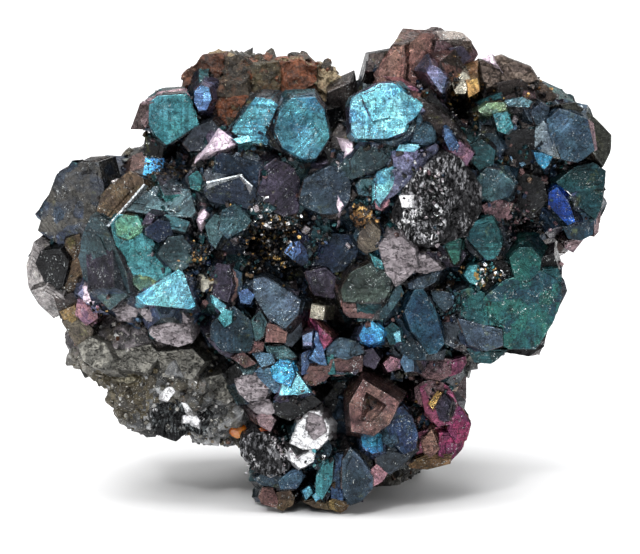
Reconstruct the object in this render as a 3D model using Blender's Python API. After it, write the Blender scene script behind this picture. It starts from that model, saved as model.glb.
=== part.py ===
"""Galena specimen: intergrown galena crystals on a lump of ore rock, with sphalerite crystals behind.

Metres, +Z up. The best side looks along -Y. The specimen stands on flats at its foot, at Z = 0,
and the middle of its width and depth is at the origin. Places on the best side are read as it is
seen from VIEW_TILT above the horizon: across to the right, up the view and out towards the viewer.
"""

import math
import random
from typing import NamedTuple

import bmesh
import bpy
from mathutils import Matrix, Vector, noise

MM = 0.001
VIEW_TILT = math.radians(12.0)
FOOT_HEIGHT = 1.3
MIDDLE_ACROSS = -0.1
MIDDLE_OUT = -5.1
JOINT_GAP = 0.38


class Habit(NamedTuple):
    """How far the octahedron's faces stand out, as a multiple of the cube's, and which face looks out."""

    octahedron: float
    cube_looks_out: bool


HEX = Habit(1.55, False)
TRI = Habit(1.86, False)
EIGHT = Habit(2.45, True)
DIAMOND = Habit(1.62, True)
BLOCK = Habit(2.82, True)


class Crystal(NamedTuple):
    """A crystal by its main face: where the face's middle is and which way it looks. Millimetres, degrees."""

    name: str
    across: float
    up: float
    out: float
    reach: float
    habit: Habit
    yaw: float = 0.0
    pitch: float = 0.0
    roll: float = 0.0
    long: float = 1.0
    thick: float = 0.8


class Lump(NamedTuple):
    """A rounded mass by its middle and its half sizes across, in depth and up. Millimetres."""

    across: float
    up: float
    out: float
    half_across: float
    half_deep: float
    half_up: float


GALENA = (
    Crystal("left_end_upper", -24.8, 31.2, 3.0, 3.2, BLOCK, -25, 8, 33, 1.45),
    Crystal("left_end_lower", -26.8, 24.2, 3.0, 2.2, HEX, -25, -12, 10, 1.15),
    Crystal("left_end_rim", -25.0, 22.2, 1.5, 1.5, HEX, -40, -25, 0),
    Crystal("big_left", -16.4, 25.0, 9.6, 4.3, HEX, 12, 14, 30),
    Crystal("big_left_flank", -21.0, 24.8, 7.0, 2.8, HEX, -42, -5, 10, 1.4),
    Crystal("big_left_top", -16.0, 31.0, 7.6, 2.9, HEX, 5, 42, 90, 1.3),
    Crystal("big_left_brown", -19.8, 31.2, 5.8, 2.4, BLOCK, -30, 20, 35),
    Crystal("violet_step", -15.6, 28.4, 9.9, 1.5, BLOCK, 10, -20, 25),
    Crystal("teal_hexagon", -13.9, 25.9, 10.4, 1.9, HEX, 5, -5, 0),
    Crystal("bright_triangle", -14.8, 22.2, 10.7, 2.9, TRI, 0, 18, 0),
    Crystal("lead_block", -15.2, 18.9, 8.7, 2.9, BLOCK, -5, -22, -8),
    Crystal("lead_wedge", -19.2, 20.9, 7.0, 1.9, TRI, -20, -10, 0),
    Crystal("violet_nub", -22.7, 21.7, 5.6, 1.3, DIAMOND, -20, 5, 0),
    Crystal("bronze_nub", -23.1, 20.0, 4.6, 1.5, BLOCK, -20, 0, 20),
    Crystal("shelf", -14.5, 39.4, 5.0, 2.6, EIGHT, 5, 10, 18),
    Crystal("shelf_back", -15.0, 41.0, 3.0, 1.9, BLOCK, -20, 30, 12),
    Crystal("blue_bead", -11.4, 41.3, 4.2, 1.2, HEX, 0, 5, 0, 1.2),
    Crystal("slate_wedge", -11.5, 37.3, 5.1, 1.8, HEX, -5, 10, 30),
    Crystal("dark_corner", -16.4, 36.3, 4.0, 1.4, BLOCK, -20, 0, 10),
    Crystal("blue_ledge", -16.4, 34.6, 4.8, 1.3, BLOCK, -10, 40, 0),
    Crystal("flash_triangle", -9.5, 36.9, 6.7, 1.8, TRI, 5, 25, 10),
    Crystal("dark_ridge", -15.4, 33.4, 5.8, 1.9, HEX, 0, 50, 0),
    Crystal("night_block", -8.4, 32.9, 8.6, 3.6, BLOCK, -5, 4, 12),
    Crystal("night_top", -7.7, 34.9, 6.9, 2.6, HEX, 0, 35, 0),
    Crystal("violet_slab", -3.6, 31.7, 7.8, 3.2, BLOCK, 22, 0, 5, 1.35),
    Crystal("small_teal_a", -12.1, 33.4, 7.2, 1.4, HEX, -5, 10),
    Crystal("small_teal_b", -11.2, 31.5, 7.7, 1.3, TRI, 0, 5, 20),
    Crystal("step_teal", -13.4, 30.7, 7.8, 2.0, TRI, 20, 5, 0),
    Crystal("grey_teal_gem", -8.2, 29.1, 9.4, 1.7, EIGHT, 5, 5, 20),
    Crystal("teal_splinter", -10.2, 28.0, 9.0, 1.3, HEX, -20, 0, 0, 1.6),
    Crystal("sea_left", -6.3, 38.8, 7.0, 2.4, HEX, -12, 15, 0),
    Crystal("sea_right", -2.0, 38.3, 7.7, 3.1, EIGHT, 6, 12, 25),
    Crystal("sea_side", 1.5, 38.7, 5.6, 2.3, BLOCK, 50, 5, 0),
    Crystal("crown", 6.7, 39.6, 9.8, 3.5, EIGHT, 0, 18, 10),
    Crystal("crown_step", 9.7, 38.4, 8.8, 2.0, BLOCK, 10, 10, 25),
    Crystal("crown_step_low", 10.7, 37.4, 8.5, 1.6, BLOCK, 10, 10, 40),
    Crystal("dark_bar", 4.3, 35.2, 9.2, 2.1, BLOCK, -10, -14, 65, 1.5),
    Crystal("dark_bar_end", 2.0, 35.2, 8.1, 2.0, TRI, -20, 0, 0),
    Crystal("cyan_chip", 8.8, 36.5, 9.5, 1.0, TRI, 0, 30, 90, 1.4),
    Crystal("violet_wedge", 8.6, 35.2, 9.8, 1.8, TRI, 5, 10, 180),
    Crystal("violet_blade", 9.7, 33.4, 9.7, 1.9, BLOCK, 12, 0, 42, 1.9),
    Crystal("cyan_blade", 6.6, 32.9, 9.7, 1.2, TRI, -5, 15, 30, 1.7),
    Crystal("slate_hexagon", 0.8, 31.9, 8.3, 2.7, HEX, -5, 0, 0),
    Crystal("teal_knob", 4.8, 32.5, 9.0, 1.3, HEX),
    Crystal("black_ridge", 12.3, 39.0, 7.3, 2.5, BLOCK, 30, 10, -44, 1.6),
    Crystal("violet_shard", 14.1, 36.3, 8.8, 1.3, BLOCK, 10, 5, -40, 1.7),
    Crystal("lilac_shard", 12.1, 43.2, 5.8, 1.2, TRI, 0, 5, 180, 1.4),
    Crystal("bronze_peak", 9.0, 44.4, 1.6, 3.0, HEX, -22, 12, 0),
    Crystal("bronze_peak_right", 13.4, 44.8, 1.2, 2.0, HEX, 30, 10, 0),
    Crystal("bronze_flank", 6.9, 43.0, 2.2, 1.7, HEX, -25, 10, 0),
    Crystal("plum_rocks", 17.6, 42.6, 2.4, 2.0, HEX, 10, 20, 0),
    Crystal("plum_rocks_back", 20.3, 42.2, 0.6, 1.9, EIGHT, 15, 15, 10),
    Crystal("olive_rim", 22.8, 40.7, 1.2, 1.6, HEX, 15, 20, 0),
    Crystal("bracket_teal", 17.6, 39.4, 6.6, 1.9, BLOCK, 0, 10, -20, 1.35),
    Crystal("bracket_slate", 21.1, 40.0, 5.4, 1.7, HEX, 5, 15, 0),
    Crystal("steel_hexagon", 24.9, 37.6, 6.2, 2.3, HEX, 5, 5, 15),
    Crystal("right_end", 27.3, 37.3, 3.8, 2.4, BLOCK, 40, 5, -25),
    Crystal("teal_side", 22.9, 37.0, 6.0, 1.9, HEX, -15, 0, 0, 1.2),
    Crystal("blue_chip", 22.4, 35.2, 6.6, 1.1, TRI, 0, 10, 180),
    Crystal("right_big", 25.8, 31.2, 5.6, 2.9, HEX, 18, 10, 0),
    Crystal("deep_blue", 24.0, 30.5, 6.4, 1.6, TRI, -30, -10, 20, 1.3),
    Crystal("right_low", 26.4, 28.6, 4.2, 1.7, EIGHT, 20, -20, 0),
    Crystal("teal_pane", 17.8, 32.8, 8.0, 2.4, EIGHT, 0, 5, 10),
    Crystal("dark_pane", 17.0, 36.2, 7.4, 1.9, HEX, 5, -5, 0),
    Crystal("dark_wall", 20.3, 36.4, 6.0, 2.4, BLOCK, 5, 0, 0),
    Crystal("plum_nub", 17.8, 30.3, 7.7, 1.5, HEX),
    Crystal("dark_middle", 20.8, 31.7, 6.0, 2.3, HEX, 0, 5, 15),
    Crystal("etched_left", 9.8, 30.5, 9.9, 3.4, BLOCK, -18, 4, 5, 1.35),
    Crystal("etched_right", 14.1, 31.0, 9.0, 3.1, BLOCK, 24, 4, 0, 1.35),
    Crystal("lead_face", 7.8, 25.4, 10.2, 2.2, EIGHT, -5, -10, 0, 1.2),
    Crystal("lead_face_left", 5.1, 27.4, 9.3, 1.9, HEX, -15, -5),
    Crystal("lead_face_right", 10.8, 25.0, 9.7, 1.8, BLOCK, 10, -15),
    Crystal("bronze_spur", 4.3, 29.8, 9.3, 1.4, TRI, -5, 5),
    Crystal("blue_gem_a", -1.6, 26.0, 8.2, 1.4, HEX, 5, 0),
    Crystal("blue_gem_b", -2.8, 26.3, 8.0, 1.1, BLOCK, -20, 5, 20),
    Crystal("blue_gem_c", 0.4, 28.1, 7.3, 1.2, HEX),
    Crystal("deep_block", 1.3, 25.0, 6.4, 2.6, BLOCK, 0, 10, 5),
    Crystal("banded", 4.9, 22.9, 10.2, 2.4, HEX, -5, 25, 60),
    Crystal("banded_right", 7.3, 21.2, 9.4, 1.5, HEX, 25, 0, 35, 1.5),
    Crystal("prism", 10.5, 19.0, 9.6, 1.7, BLOCK, 10, 5, -25, 2.1),
    Crystal("prism_dark", 8.6, 18.2, 8.4, 1.6, BLOCK, -20, 0, -15, 1.8),
    Crystal("green_splinter", 13.3, 26.4, 9.0, 1.3, TRI, 0, 5, 180, 1.6),
    Crystal("teal_boss", 17.0, 27.2, 8.2, 2.5, HEX, 5, 0, 0),
    Crystal("blue_step", 12.6, 21.2, 8.7, 1.8, BLOCK, -10, 5, -30),
    Crystal("plate", 19.3, 20.4, 8.6, 5.0, EIGHT, 5, -4, 12, 1.0, 0.5),
    Crystal("plate_step", 15.3, 20.6, 9.3, 2.0, BLOCK, 0, 0, 5),
    Crystal("plate_low", 16.1, 18.0, 9.0, 2.3, EIGHT, -3, -8, 30),
    Crystal("plate_top", 20.7, 24.4, 7.6, 2.1, EIGHT, 0, 5, 20),
    Crystal("plate_side", 23.3, 23.4, 6.8, 1.8, BLOCK, 15, 0, 0),
    Crystal("plate_lip", 17.0, 16.6, 7.0, 1.3, HEX, 0, -20, 0),
    Crystal("plate_rim", 13.8, 18.2, 8.2, 1.8, HEX, -10, -10, 30),
    Crystal("violet_drum", -9.1, 23.1, 9.5, 1.8, HEX, 0, 0, 30, 1.15),
    Crystal("blue_violet_bead", -7.0, 21.8, 9.2, 1.0, HEX),
    Crystal("cream_cube", 0.0, 20.0, 10.2, 1.3, BLOCK, -15, 12, 5),
    Crystal("slate_roof", -4.2, 20.9, 9.5, 2.9, BLOCK, -8, 24, 10),
    Crystal("bronze_front", -4.1, 18.3, 9.2, 1.9, BLOCK, 0, -15, 4),
    Crystal("ink_hexagon", -8.9, 18.7, 8.9, 2.1, HEX, -5, 5, 0),
    Crystal("cyan_dart", -9.8, 21.0, 9.5, 1.1, TRI, 0, 10, -30, 1.5),
    Crystal("teal_chip", -9.2, 19.5, 9.6, 1.0, TRI, 5, 10, 40),
    Crystal("ink_low", -7.7, 16.7, 8.4, 1.7, HEX, 0, -15, 20),
    Crystal("copper_nub", -6.1, 16.6, 9.0, 1.1, TRI, 0, 10),
    Crystal("bronze_roof", -6.9, 15.1, 8.8, 1.4, HEX, 0, 20),
    Crystal("blue_flame", -2.7, 13.4, 9.5, 2.2, EIGHT, -5, 18, 25),
    Crystal("blue_flame_side", -5.4, 13.7, 8.8, 1.9, BLOCK, -10, 10, 20),
    Crystal("black_face", -2.0, 11.0, 8.6, 2.2, BLOCK, 0, -20, 0),
    Crystal("lead_flake", -6.5, 12.5, 8.3, 1.8, HEX, -10, 0),
    Crystal("bronze_blue", 2.6, 15.4, 9.6, 2.2, BLOCK, 0, 22, 0),
    Crystal("bronze_toe", -0.2, 14.2, 9.3, 1.5, BLOCK, -5, -10, 20),
    Crystal("teal_ribbon", 0.3, 16.3, 9.5, 1.0, BLOCK, 0, 5, 0, 1.7),
    Crystal("blue_opal", 5.4, 18.0, 9.7, 1.3, EIGHT, 0, 15, 20),
    Crystal("dark_teal_nub", 7.1, 17.7, 9.2, 1.3, HEX),
    Crystal("picture_frame", 5.7, 10.6, 10.4, 2.7, BLOCK, 3, 3, 38),
    Crystal("blue_shoulder", 8.0, 7.6, 8.6, 2.0, HEX, 10, 5, 20),
    Crystal("cyan_nub", 5.3, 7.1, 9.2, 1.2, BLOCK, -5, 15, 20),
    Crystal("silver_flash", -0.8, 7.2, 8.9, 2.3, EIGHT, 0, 10, -20, 1.2),
    Crystal("lead_ribbed", -5.0, 5.8, 7.6, 2.7, BLOCK, -15, -5, 10),
    Crystal("slate_bottom", -4.0, 3.4, 7.0, 1.6, HEX, 0, 5, 30),
    Crystal("brown_toe", -4.4, 1.5, 6.2, 1.0, HEX, -5, -5),
    Crystal("blue_pillar", 3.8, 4.2, 8.0, 2.6, BLOCK, 10, 0, 5, 1.2),
    Crystal("cyan_pillar", 0.9, 3.9, 7.9, 1.4, BLOCK, -20, 0, 5, 1.6),
    Crystal("orange_toe", 1.6, 1.1, 6.6, 1.1, HEX, 5, -10),
    Crystal("pink_toe", -0.6, 1.2, 6.3, 1.0, HEX, 0, -10, 20),
    Crystal("pink_side", 6.0, 4.2, 6.6, 1.1, BLOCK, 10, -10, 30),
    Crystal("dark_low", 7.6, 5.2, 7.0, 1.5, HEX, 10, -10),
    Crystal("magenta_mass", 12.2, 8.8, 3.4, 2.1, HEX, 10, 0, 0, 1.25),
    Crystal("magenta_low", 12.0, 6.4, 2.8, 1.6, EIGHT, -5, -5, 15),
    Crystal("plum_shelf", 12.2, 14.9, 5.6, 1.9, HEX, 5, 5, 10),
    Crystal("plum_middle", 11.2, 12.0, 4.8, 1.6, HEX, 0, 0, 25),
    Crystal("bronze_pair_a", 7.8, 15.1, 8.4, 1.2, BLOCK, 0, 0, 30),
    Crystal("bronze_pair_b", 7.9, 13.8, 8.2, 1.1, BLOCK, 0, 0, 10),
    Crystal("teal_wedge", 8.9, 15.5, 8.6, 1.1, TRI, 0, 5),
)

SPHALERITE = (
    Crystal("honey_a", -9.6, 43.0, 1.0, 2.1, TRI, -10, 20, 10),
    Crystal("honey_b", -12.2, 42.2, 0.0, 1.6, HEX, -30, 10, 30),
    Crystal("honey_c", -5.4, 42.6, 2.0, 1.9, HEX, 5, 15, 0),
    Crystal("honey_d", -1.9, 42.7, 1.8, 1.8, TRI, 10, 15, 40),
    Crystal("honey_e", 1.2, 42.4, 0.6, 1.4, HEX, 20, 15, 20),
    Crystal("honey_f", -8.8, 40.4, 4.0, 2.0, TRI, -5, 10, 60),
    Crystal("honey_g", -10.2, 44.2, -3.0, 1.9, HEX, -20, 60, 0),
    Crystal("honey_h", -5.0, 43.6, -3.5, 2.0, TRI, 10, 70, 30),
    Crystal("honey_i", -0.6, 43.0, -4.0, 1.8, HEX, 30, 60, 10),
    Crystal("honey_j", -8.0, 42.0, -6.4, 2.2, TRI, 190, 15, 10),
    Crystal("honey_k", -3.0, 41.6, -6.6, 2.0, HEX, 165, 15, 40),
)

GALENA_LUMPS = (
    Lump(-15.5, 27.5, -3.5, 9.5, 10.5, 8.2),
    Lump(0.0, 27.0, -4.0, 12.0, 10.8, 14.0),
    Lump(15.5, 28.5, -4.0, 9.6, 11.0, 10.0),
    Lump(1.2, 11.0, -3.0, 7.2, 9.5, 10.0),
    Lump(11.2, 10.0, -2.0, 3.0, 5.0, 4.4),
    Lump(10.5, 41.5, -4.5, 6.0, 6.5, 4.8),
    Lump(21.5, 37.5, -3.5, 5.6, 7.0, 4.2),
    Lump(-7.5, 37.5, -4.0, 8.0, 9.0, 5.0),
)
ROCK_LUMPS = (
    Lump(-14.8, 13.6, -0.5, 7.2, 8.0, 6.4),
    Lump(-21.0, 17.2, -0.5, 4.4, 6.5, 4.9),
    Lump(-9.6, 11.2, -1.0, 5.4, 7.5, 4.9),
    Lump(-18.0, 17.5, 0.6, 4.6, 6.0, 3.6),
    Lump(-8.0, 18.5, -12.0, 12.5, 7.5, 10.5),
    Lump(9.0, 23.5, -13.0, 13.0, 7.5, 12.5),
    Lump(3.0, 8.0, -10.5, 8.8, 7.6, 9.4),
    Lump(-13.0, 30.5, -10.5, 9.5, 6.5, 8.0),
    Lump(0.5, 32.0, -11.5, 9.0, 5.5, 7.5),
    Lump(-8.5, 37.5, -9.5, 8.5, 6.5, 6.0),
    Lump(-5.5, 42.0, -8.0, 8.4, 5.6, 3.8),
    Lump(15.5, 33.5, -10.5, 7.5, 6.0, 5.5),
    Lump(-2.5, 12.0, -15.5, 6.5, 5.0, 6.5),
    Lump(9.0, 15.5, -14.5, 6.0, 5.0, 6.5),
)
SPHALERITE_LUMPS = (Lump(-5.6, 42.2, -2.2, 7.0, 4.2, 2.8),)

BOX_REACHES = 12.0
MAIN_FACE = 0.999
BACK_FACE = -0.3
ROOT_DEPTH = 3.4
FACE_JITTER = 0.09
LUMP_DETAIL = 2
LUMP_ROUGHNESS = 0.10
ROUGHNESS_SPACING = 3.2
BREAKS = 26
BREAK_DEPTH = (0.80, 1.0)
GALENA_KEPT = 0.78
SEED = 2718
HIDDEN_SPACING = 5.0
HIDDEN_FROM = -0.02
HIDDEN_REACH = (1.6, 3.2)
HIDDEN_HABITS = (HEX, HEX, EIGHT, BLOCK, TRI)
HIDDEN_PROUD = 0.3
HIDDEN_LEAN = 20.0
CLEAR_OF_GALENA = 0.3
CLEAR_OF_ROCK = 0.6
CLEAR_OF_SPHALERITE = 1.5
BATCH = 24
GROUND_SIZE = 200.0
GOLDEN_ANGLE = math.pi * (3.0 - math.sqrt(5.0))


def place(across, up, out):
    """The point in millimetres that is seen at (across, up) and stands out towards the viewer."""
    height = (up + out * math.sin(VIEW_TILT)) / math.cos(VIEW_TILT) - FOOT_HEIGHT
    return Vector((across - MIDDLE_ACROSS, MIDDLE_OUT - out, height))


def seen_at(point):
    """The across, up and out of a point: place() the other way round."""
    out = MIDDLE_OUT - point.y
    up = (point.z + FOOT_HEIGHT) * math.cos(VIEW_TILT) - out * math.sin(VIEW_TILT)
    return point.x + MIDDLE_ACROSS, up, out


def main_face_radius(habit):
    """The radius of the main face of a crystal whose cube faces are 1 from its centre."""
    reach = habit.octahedron
    if not habit.cube_looks_out:
        third = reach / 3.0
        return math.hypot(1.0 - third, reach - 1.0 - third, third)
    if reach < 2.0:
        return reach - 1.0
    return math.hypot(1.0, reach - 2.0)


def facing(crystal):
    """The turn that brings the crystal's main face to where it looks."""
    turn = Matrix.Rotation(math.radians(crystal.yaw), 3, "Z")
    turn = turn @ Matrix.Rotation(-math.radians(crystal.pitch), 3, "X")
    turn = turn @ Matrix.Rotation(math.radians(crystal.roll), 3, "Y")
    if crystal.habit.cube_looks_out:
        return turn
    look = Vector((1.0, 1.0, 1.0)).normalized()
    upward = (Vector((0.0, 0.0, 1.0)) - look * look.z).normalized()
    sideways = upward.cross(look)
    stand = Matrix((sideways, -look, upward))
    return turn @ stand


def face_directions(crystal):
    """Each face's direction in the crystal's own axes and its distance for cube faces at 1."""
    faces = []
    for axis in range(3):
        for sign in (-1.0, 1.0):
            direction = Vector((0.0, 0.0, 0.0))
            direction[axis] = sign
            faces.append((direction, 1.0))
    for x in (-1.0, 1.0):
        for y in (-1.0, 1.0):
            for z in (-1.0, 1.0):
                distance = crystal.habit.octahedron / math.sqrt(3.0)
                faces.append((Vector((x, y, z)).normalized(), distance))
    return faces


def cut_face(solid, normal, distance):
    """Cut the solid flat at a distance along the normal and close it again."""
    geometry = solid.verts[:] + solid.edges[:] + solid.faces[:]
    result = bmesh.ops.bisect_plane(
        solid, geom=geometry, dist=1e-5, plane_co=normal * distance, plane_no=normal, clear_outer=True
    )
    rim = [item for item in result["geom_cut"] if isinstance(item, bmesh.types.BMEdge)]
    if len(rim) > 2:
        bmesh.ops.contextual_create(solid, geom=rim)


def crystal_solid(crystal, grow=0.0):
    """One crystal in millimetres, in place: a box cut by each of its faces in turn."""
    chance = random.Random(crystal.name)
    half = crystal.reach / main_face_radius(crystal.habit)
    turn = facing(crystal)
    look = facing(crystal._replace(habit=BLOCK)) @ Vector((0.0, -1.0, 0.0))
    length_axis = facing(crystal._replace(habit=BLOCK)) @ Vector((0.0, 0.0, 1.0))
    solid = bmesh.new()
    bmesh.ops.create_cube(solid, size=crystal.reach * BOX_REACHES)
    depth = 0.0
    for direction, distance in face_directions(crystal):
        normal = (turn @ direction).normalized()
        towards = normal.dot(look)
        along = normal.dot(length_axis)
        stretch = math.sqrt(
            (crystal.thick * towards) ** 2 + (crystal.long * along) ** 2 + max(0.0, 1.0 - towards**2 - along**2)
        )
        reach = half * distance * stretch
        if towards > MAIN_FACE:
            depth = reach
        else:
            reach *= 1.0 + chance.uniform(-FACE_JITTER, FACE_JITTER)
        if towards < BACK_FACE:
            reach = max(reach, ROOT_DEPTH)
        cut_face(solid, normal, reach + grow)
    middle = place(crystal.across, crystal.up, crystal.out) - look * depth
    bmesh.ops.translate(solid, verts=solid.verts, vec=middle)
    return solid


def lump_solid(lump, grow=0.0):
    """One rounded mass in millimetres, slightly uneven."""
    solid = bmesh.new()
    bmesh.ops.create_icosphere(solid, subdivisions=LUMP_DETAIL, radius=1.0)
    middle = place(lump.across, lump.up, lump.out)
    half = Vector((lump.half_across, lump.half_deep, lump.half_up))
    for vert in solid.verts:
        on_lump = vert.co * half
        swell = 1.0 + LUMP_ROUGHNESS * noise.noise((on_lump + middle) / ROUGHNESS_SPACING)
        vert.co = on_lump * swell + vert.co * grow + middle
    return solid


def spiral_directions(count):
    """Directions spread evenly over a sphere by the golden angle."""
    directions = []
    for index in range(count):
        rise = 1.0 - 2.0 * (index + 0.5) / count
        around = GOLDEN_ANGLE * index
        level = math.sqrt(1.0 - rise * rise)
        directions.append(Vector((level * math.cos(around), level * math.sin(around), rise)))
    return directions


def broken_solid(number, lump, grow=0.0):
    """One block of broken rock in millimetres: a box cut by breaks from all sides."""
    chance = random.Random(SEED + number)
    half = Vector((lump.half_across, lump.half_deep, lump.half_up))
    spin = Matrix.Rotation(chance.uniform(0.0, math.tau), 3, "Z")
    solid = bmesh.new()
    bmesh.ops.create_cube(solid, size=4.0 * max(half))
    for direction in spiral_directions(BREAKS):
        normal = spin @ direction
        reach = (normal * half).length * chance.uniform(*BREAK_DEPTH)
        cut_face(solid, normal, reach + grow)
    bmesh.ops.translate(solid, verts=solid.verts, vec=place(lump.across, lump.up, lump.out))
    return solid


def inside_lump(point, lumps, margin):
    """Whether a point lies inside one of the masses, made larger by the margin."""
    for lump in lumps:
        offset = point - place(lump.across, lump.up, lump.out)
        scaled = Vector(
            (
                offset.x / (lump.half_across + margin),
                offset.y / (lump.half_deep + margin),
                offset.z / (lump.half_up + margin),
            )
        )
        if scaled.length < 1.0:
            return True
    return False


def hidden_crystals():
    """Crystals over the sides, the back and the underside of the galena, spread by the golden angle."""
    chance = random.Random(SEED)
    crystals = []
    for number, lump in enumerate(GALENA_LUMPS):
        half = Vector((lump.half_across, lump.half_deep, lump.half_up))
        mean = (half.x + half.y + half.z) / 3.0
        count = int(4.0 * math.pi * mean**2 / HIDDEN_SPACING**2)
        for index, direction in enumerate(spiral_directions(count)):
            reach = chance.uniform(*HIDDEN_REACH)
            habit = chance.choice(HIDDEN_HABITS)
            roll = chance.uniform(0.0, 90.0)
            lean_yaw = chance.uniform(-HIDDEN_LEAN, HIDDEN_LEAN)
            lean_pitch = chance.uniform(-HIDDEN_LEAN, HIDDEN_LEAN)
            outward = Vector((direction.x / half.x, direction.y / half.y, direction.z / half.z)).normalized()
            if outward.y < HIDDEN_FROM:
                continue
            point = place(lump.across, lump.up, lump.out) + direction * half + outward * HIDDEN_PROUD * reach
            others = GALENA_LUMPS[:number] + GALENA_LUMPS[number + 1 :]
            if inside_lump(point, others, CLEAR_OF_GALENA):
                continue
            if inside_lump(point, ROCK_LUMPS, CLEAR_OF_ROCK * reach):
                continue
            if inside_lump(point, SPHALERITE_LUMPS, CLEAR_OF_SPHALERITE):
                continue
            yaw = math.degrees(math.atan2(outward.x, -outward.y)) + lean_yaw
            pitch = math.degrees(math.asin(outward.z)) + lean_pitch
            name = f"hidden_{number}_{index}"
            crystals.append(Crystal(name, *seen_at(point), reach, habit, yaw, pitch, roll))
    return crystals


def as_object(solid, name, collection):
    """Turn a bmesh into an object of the collection."""
    bmesh.ops.recalc_face_normals(solid, faces=solid.faces)
    mesh = bpy.data.meshes.new(name)
    solid.to_mesh(mesh)
    solid.free()
    piece = bpy.data.objects.new(name, mesh)
    collection.objects.link(piece)
    return piece


def remove_objects(pieces):
    """Take objects and their meshes out of the file."""
    for piece in pieces:
        mesh = piece.data
        bpy.data.objects.remove(piece)
        bpy.data.meshes.remove(mesh)


def apply_boolean(piece, operands, operation):
    """Join or cut the piece with a collection of solids and make the result its mesh."""
    change = piece.modifiers.new("change", "BOOLEAN")
    change.operation = operation
    change.operand_type = "COLLECTION"
    change.collection = operands
    change.solver = "EXACT"
    depsgraph = bpy.context.evaluated_depsgraph_get()
    result = bpy.data.meshes.new_from_object(piece.evaluated_get(depsgraph))
    piece.modifiers.remove(change)
    before = piece.data
    piece.data = result
    bpy.data.meshes.remove(before)


def joined(solids, name, collection):
    """One solid made of overlapping solids."""
    helpers = bpy.data.collections.new(name + "_operands")
    bpy.context.scene.collection.children.link(helpers)
    piece = as_object(solids[0], name, collection)
    for start in range(1, len(solids), BATCH):
        batch = [as_object(solid, f"{name}_operand", helpers) for solid in solids[start : start + BATCH]]
        apply_boolean(piece, helpers, "UNION")
        remove_objects(batch)
    bpy.data.collections.remove(helpers)
    return piece


def cut_away(piece, cutter):
    """Take the cutter's solid out of the piece."""
    holder = bpy.data.collections.new("holder")
    bpy.context.scene.collection.children.link(holder)
    holder.objects.link(cutter)
    apply_boolean(piece, holder, "DIFFERENCE")
    holder.objects.unlink(cutter)
    bpy.data.collections.remove(holder)


def shells(solid):
    """The separate closed surfaces of a bmesh, as lists of faces."""
    left = set(solid.faces)
    found = []
    while left:
        start = left.pop()
        group = [start]
        queue = [start]
        while queue:
            face = queue.pop()
            for edge in face.edges:
                for other in edge.link_faces:
                    if other in left:
                        left.remove(other)
                        group.append(other)
                        queue.append(other)
        found.append(group)
    return found


def keep_largest_shell(solid):
    """Drop sealed hollows and loose bits, which leaves the one outer surface."""
    groups = sorted(shells(solid), key=lambda group: sum(face.calc_area() for face in group))
    spare = [face for group in groups[:-1] for face in group]
    bmesh.ops.delete(solid, geom=spare, context="FACES")
    loose = [vert for vert in solid.verts if not vert.link_faces]
    bmesh.ops.delete(solid, geom=loose, context="VERTS")


def merge_short_edges(piece, kept):
    """Merge the shortest edges, which leaves the kept share of the triangles."""
    change = piece.modifiers.new("merge_short_edges", "DECIMATE")
    change.ratio = kept


def finish(piece, material):
    """Clean the solid, bring it from millimetres to metres and give it its material."""
    solid = bmesh.new()
    solid.from_mesh(piece.data)
    bmesh.ops.triangulate(solid, faces=solid.faces)
    keep_largest_shell(solid)
    bmesh.ops.scale(solid, vec=(MM, MM, MM), verts=solid.verts)
    bmesh.ops.recalc_face_normals(solid, faces=solid.faces)
    solid.to_mesh(piece.data)
    solid.free()
    piece.data.materials.clear()
    piece.data.materials.append(material)


def ground_block():
    """Everything below the flats that the specimen stands on."""
    solid = bmesh.new()
    bmesh.ops.create_cube(solid, size=GROUND_SIZE)
    bmesh.ops.translate(solid, verts=solid.verts, vec=(0.0, 0.0, -GROUND_SIZE / 2.0))
    return solid


def galena_solids():
    """The galena's own mass and all its crystals."""
    crystals = list(GALENA) + hidden_crystals()
    masses = [lump_solid(lump) for lump in GALENA_LUMPS]
    return masses + [crystal_solid(crystal) for crystal in crystals]


def rock_solids(grow=0.0):
    """The ore rock's broken blocks."""
    return [broken_solid(number, lump, grow) for number, lump in enumerate(ROCK_LUMPS)]


def sphalerite_solids(grow=0.0):
    """The sphalerite's mass and its crystals."""
    masses = [lump_solid(lump, grow) for lump in SPHALERITE_LUMPS]
    return masses + [crystal_solid(crystal, grow) for crystal in SPHALERITE]


def surface_material(name, colour, roughness, metallic):
    """A plain Principled material."""
    material = bpy.data.materials.new(name)
    material.use_nodes = True
    shader = material.node_tree.nodes["Principled BSDF"]
    shader.inputs["Base Color"].default_value = (*colour, 1.0)
    shader.inputs["Roughness"].default_value = roughness
    shader.inputs["Metallic"].default_value = metallic
    material.diffuse_color = (*colour, 1.0)
    return material


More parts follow.
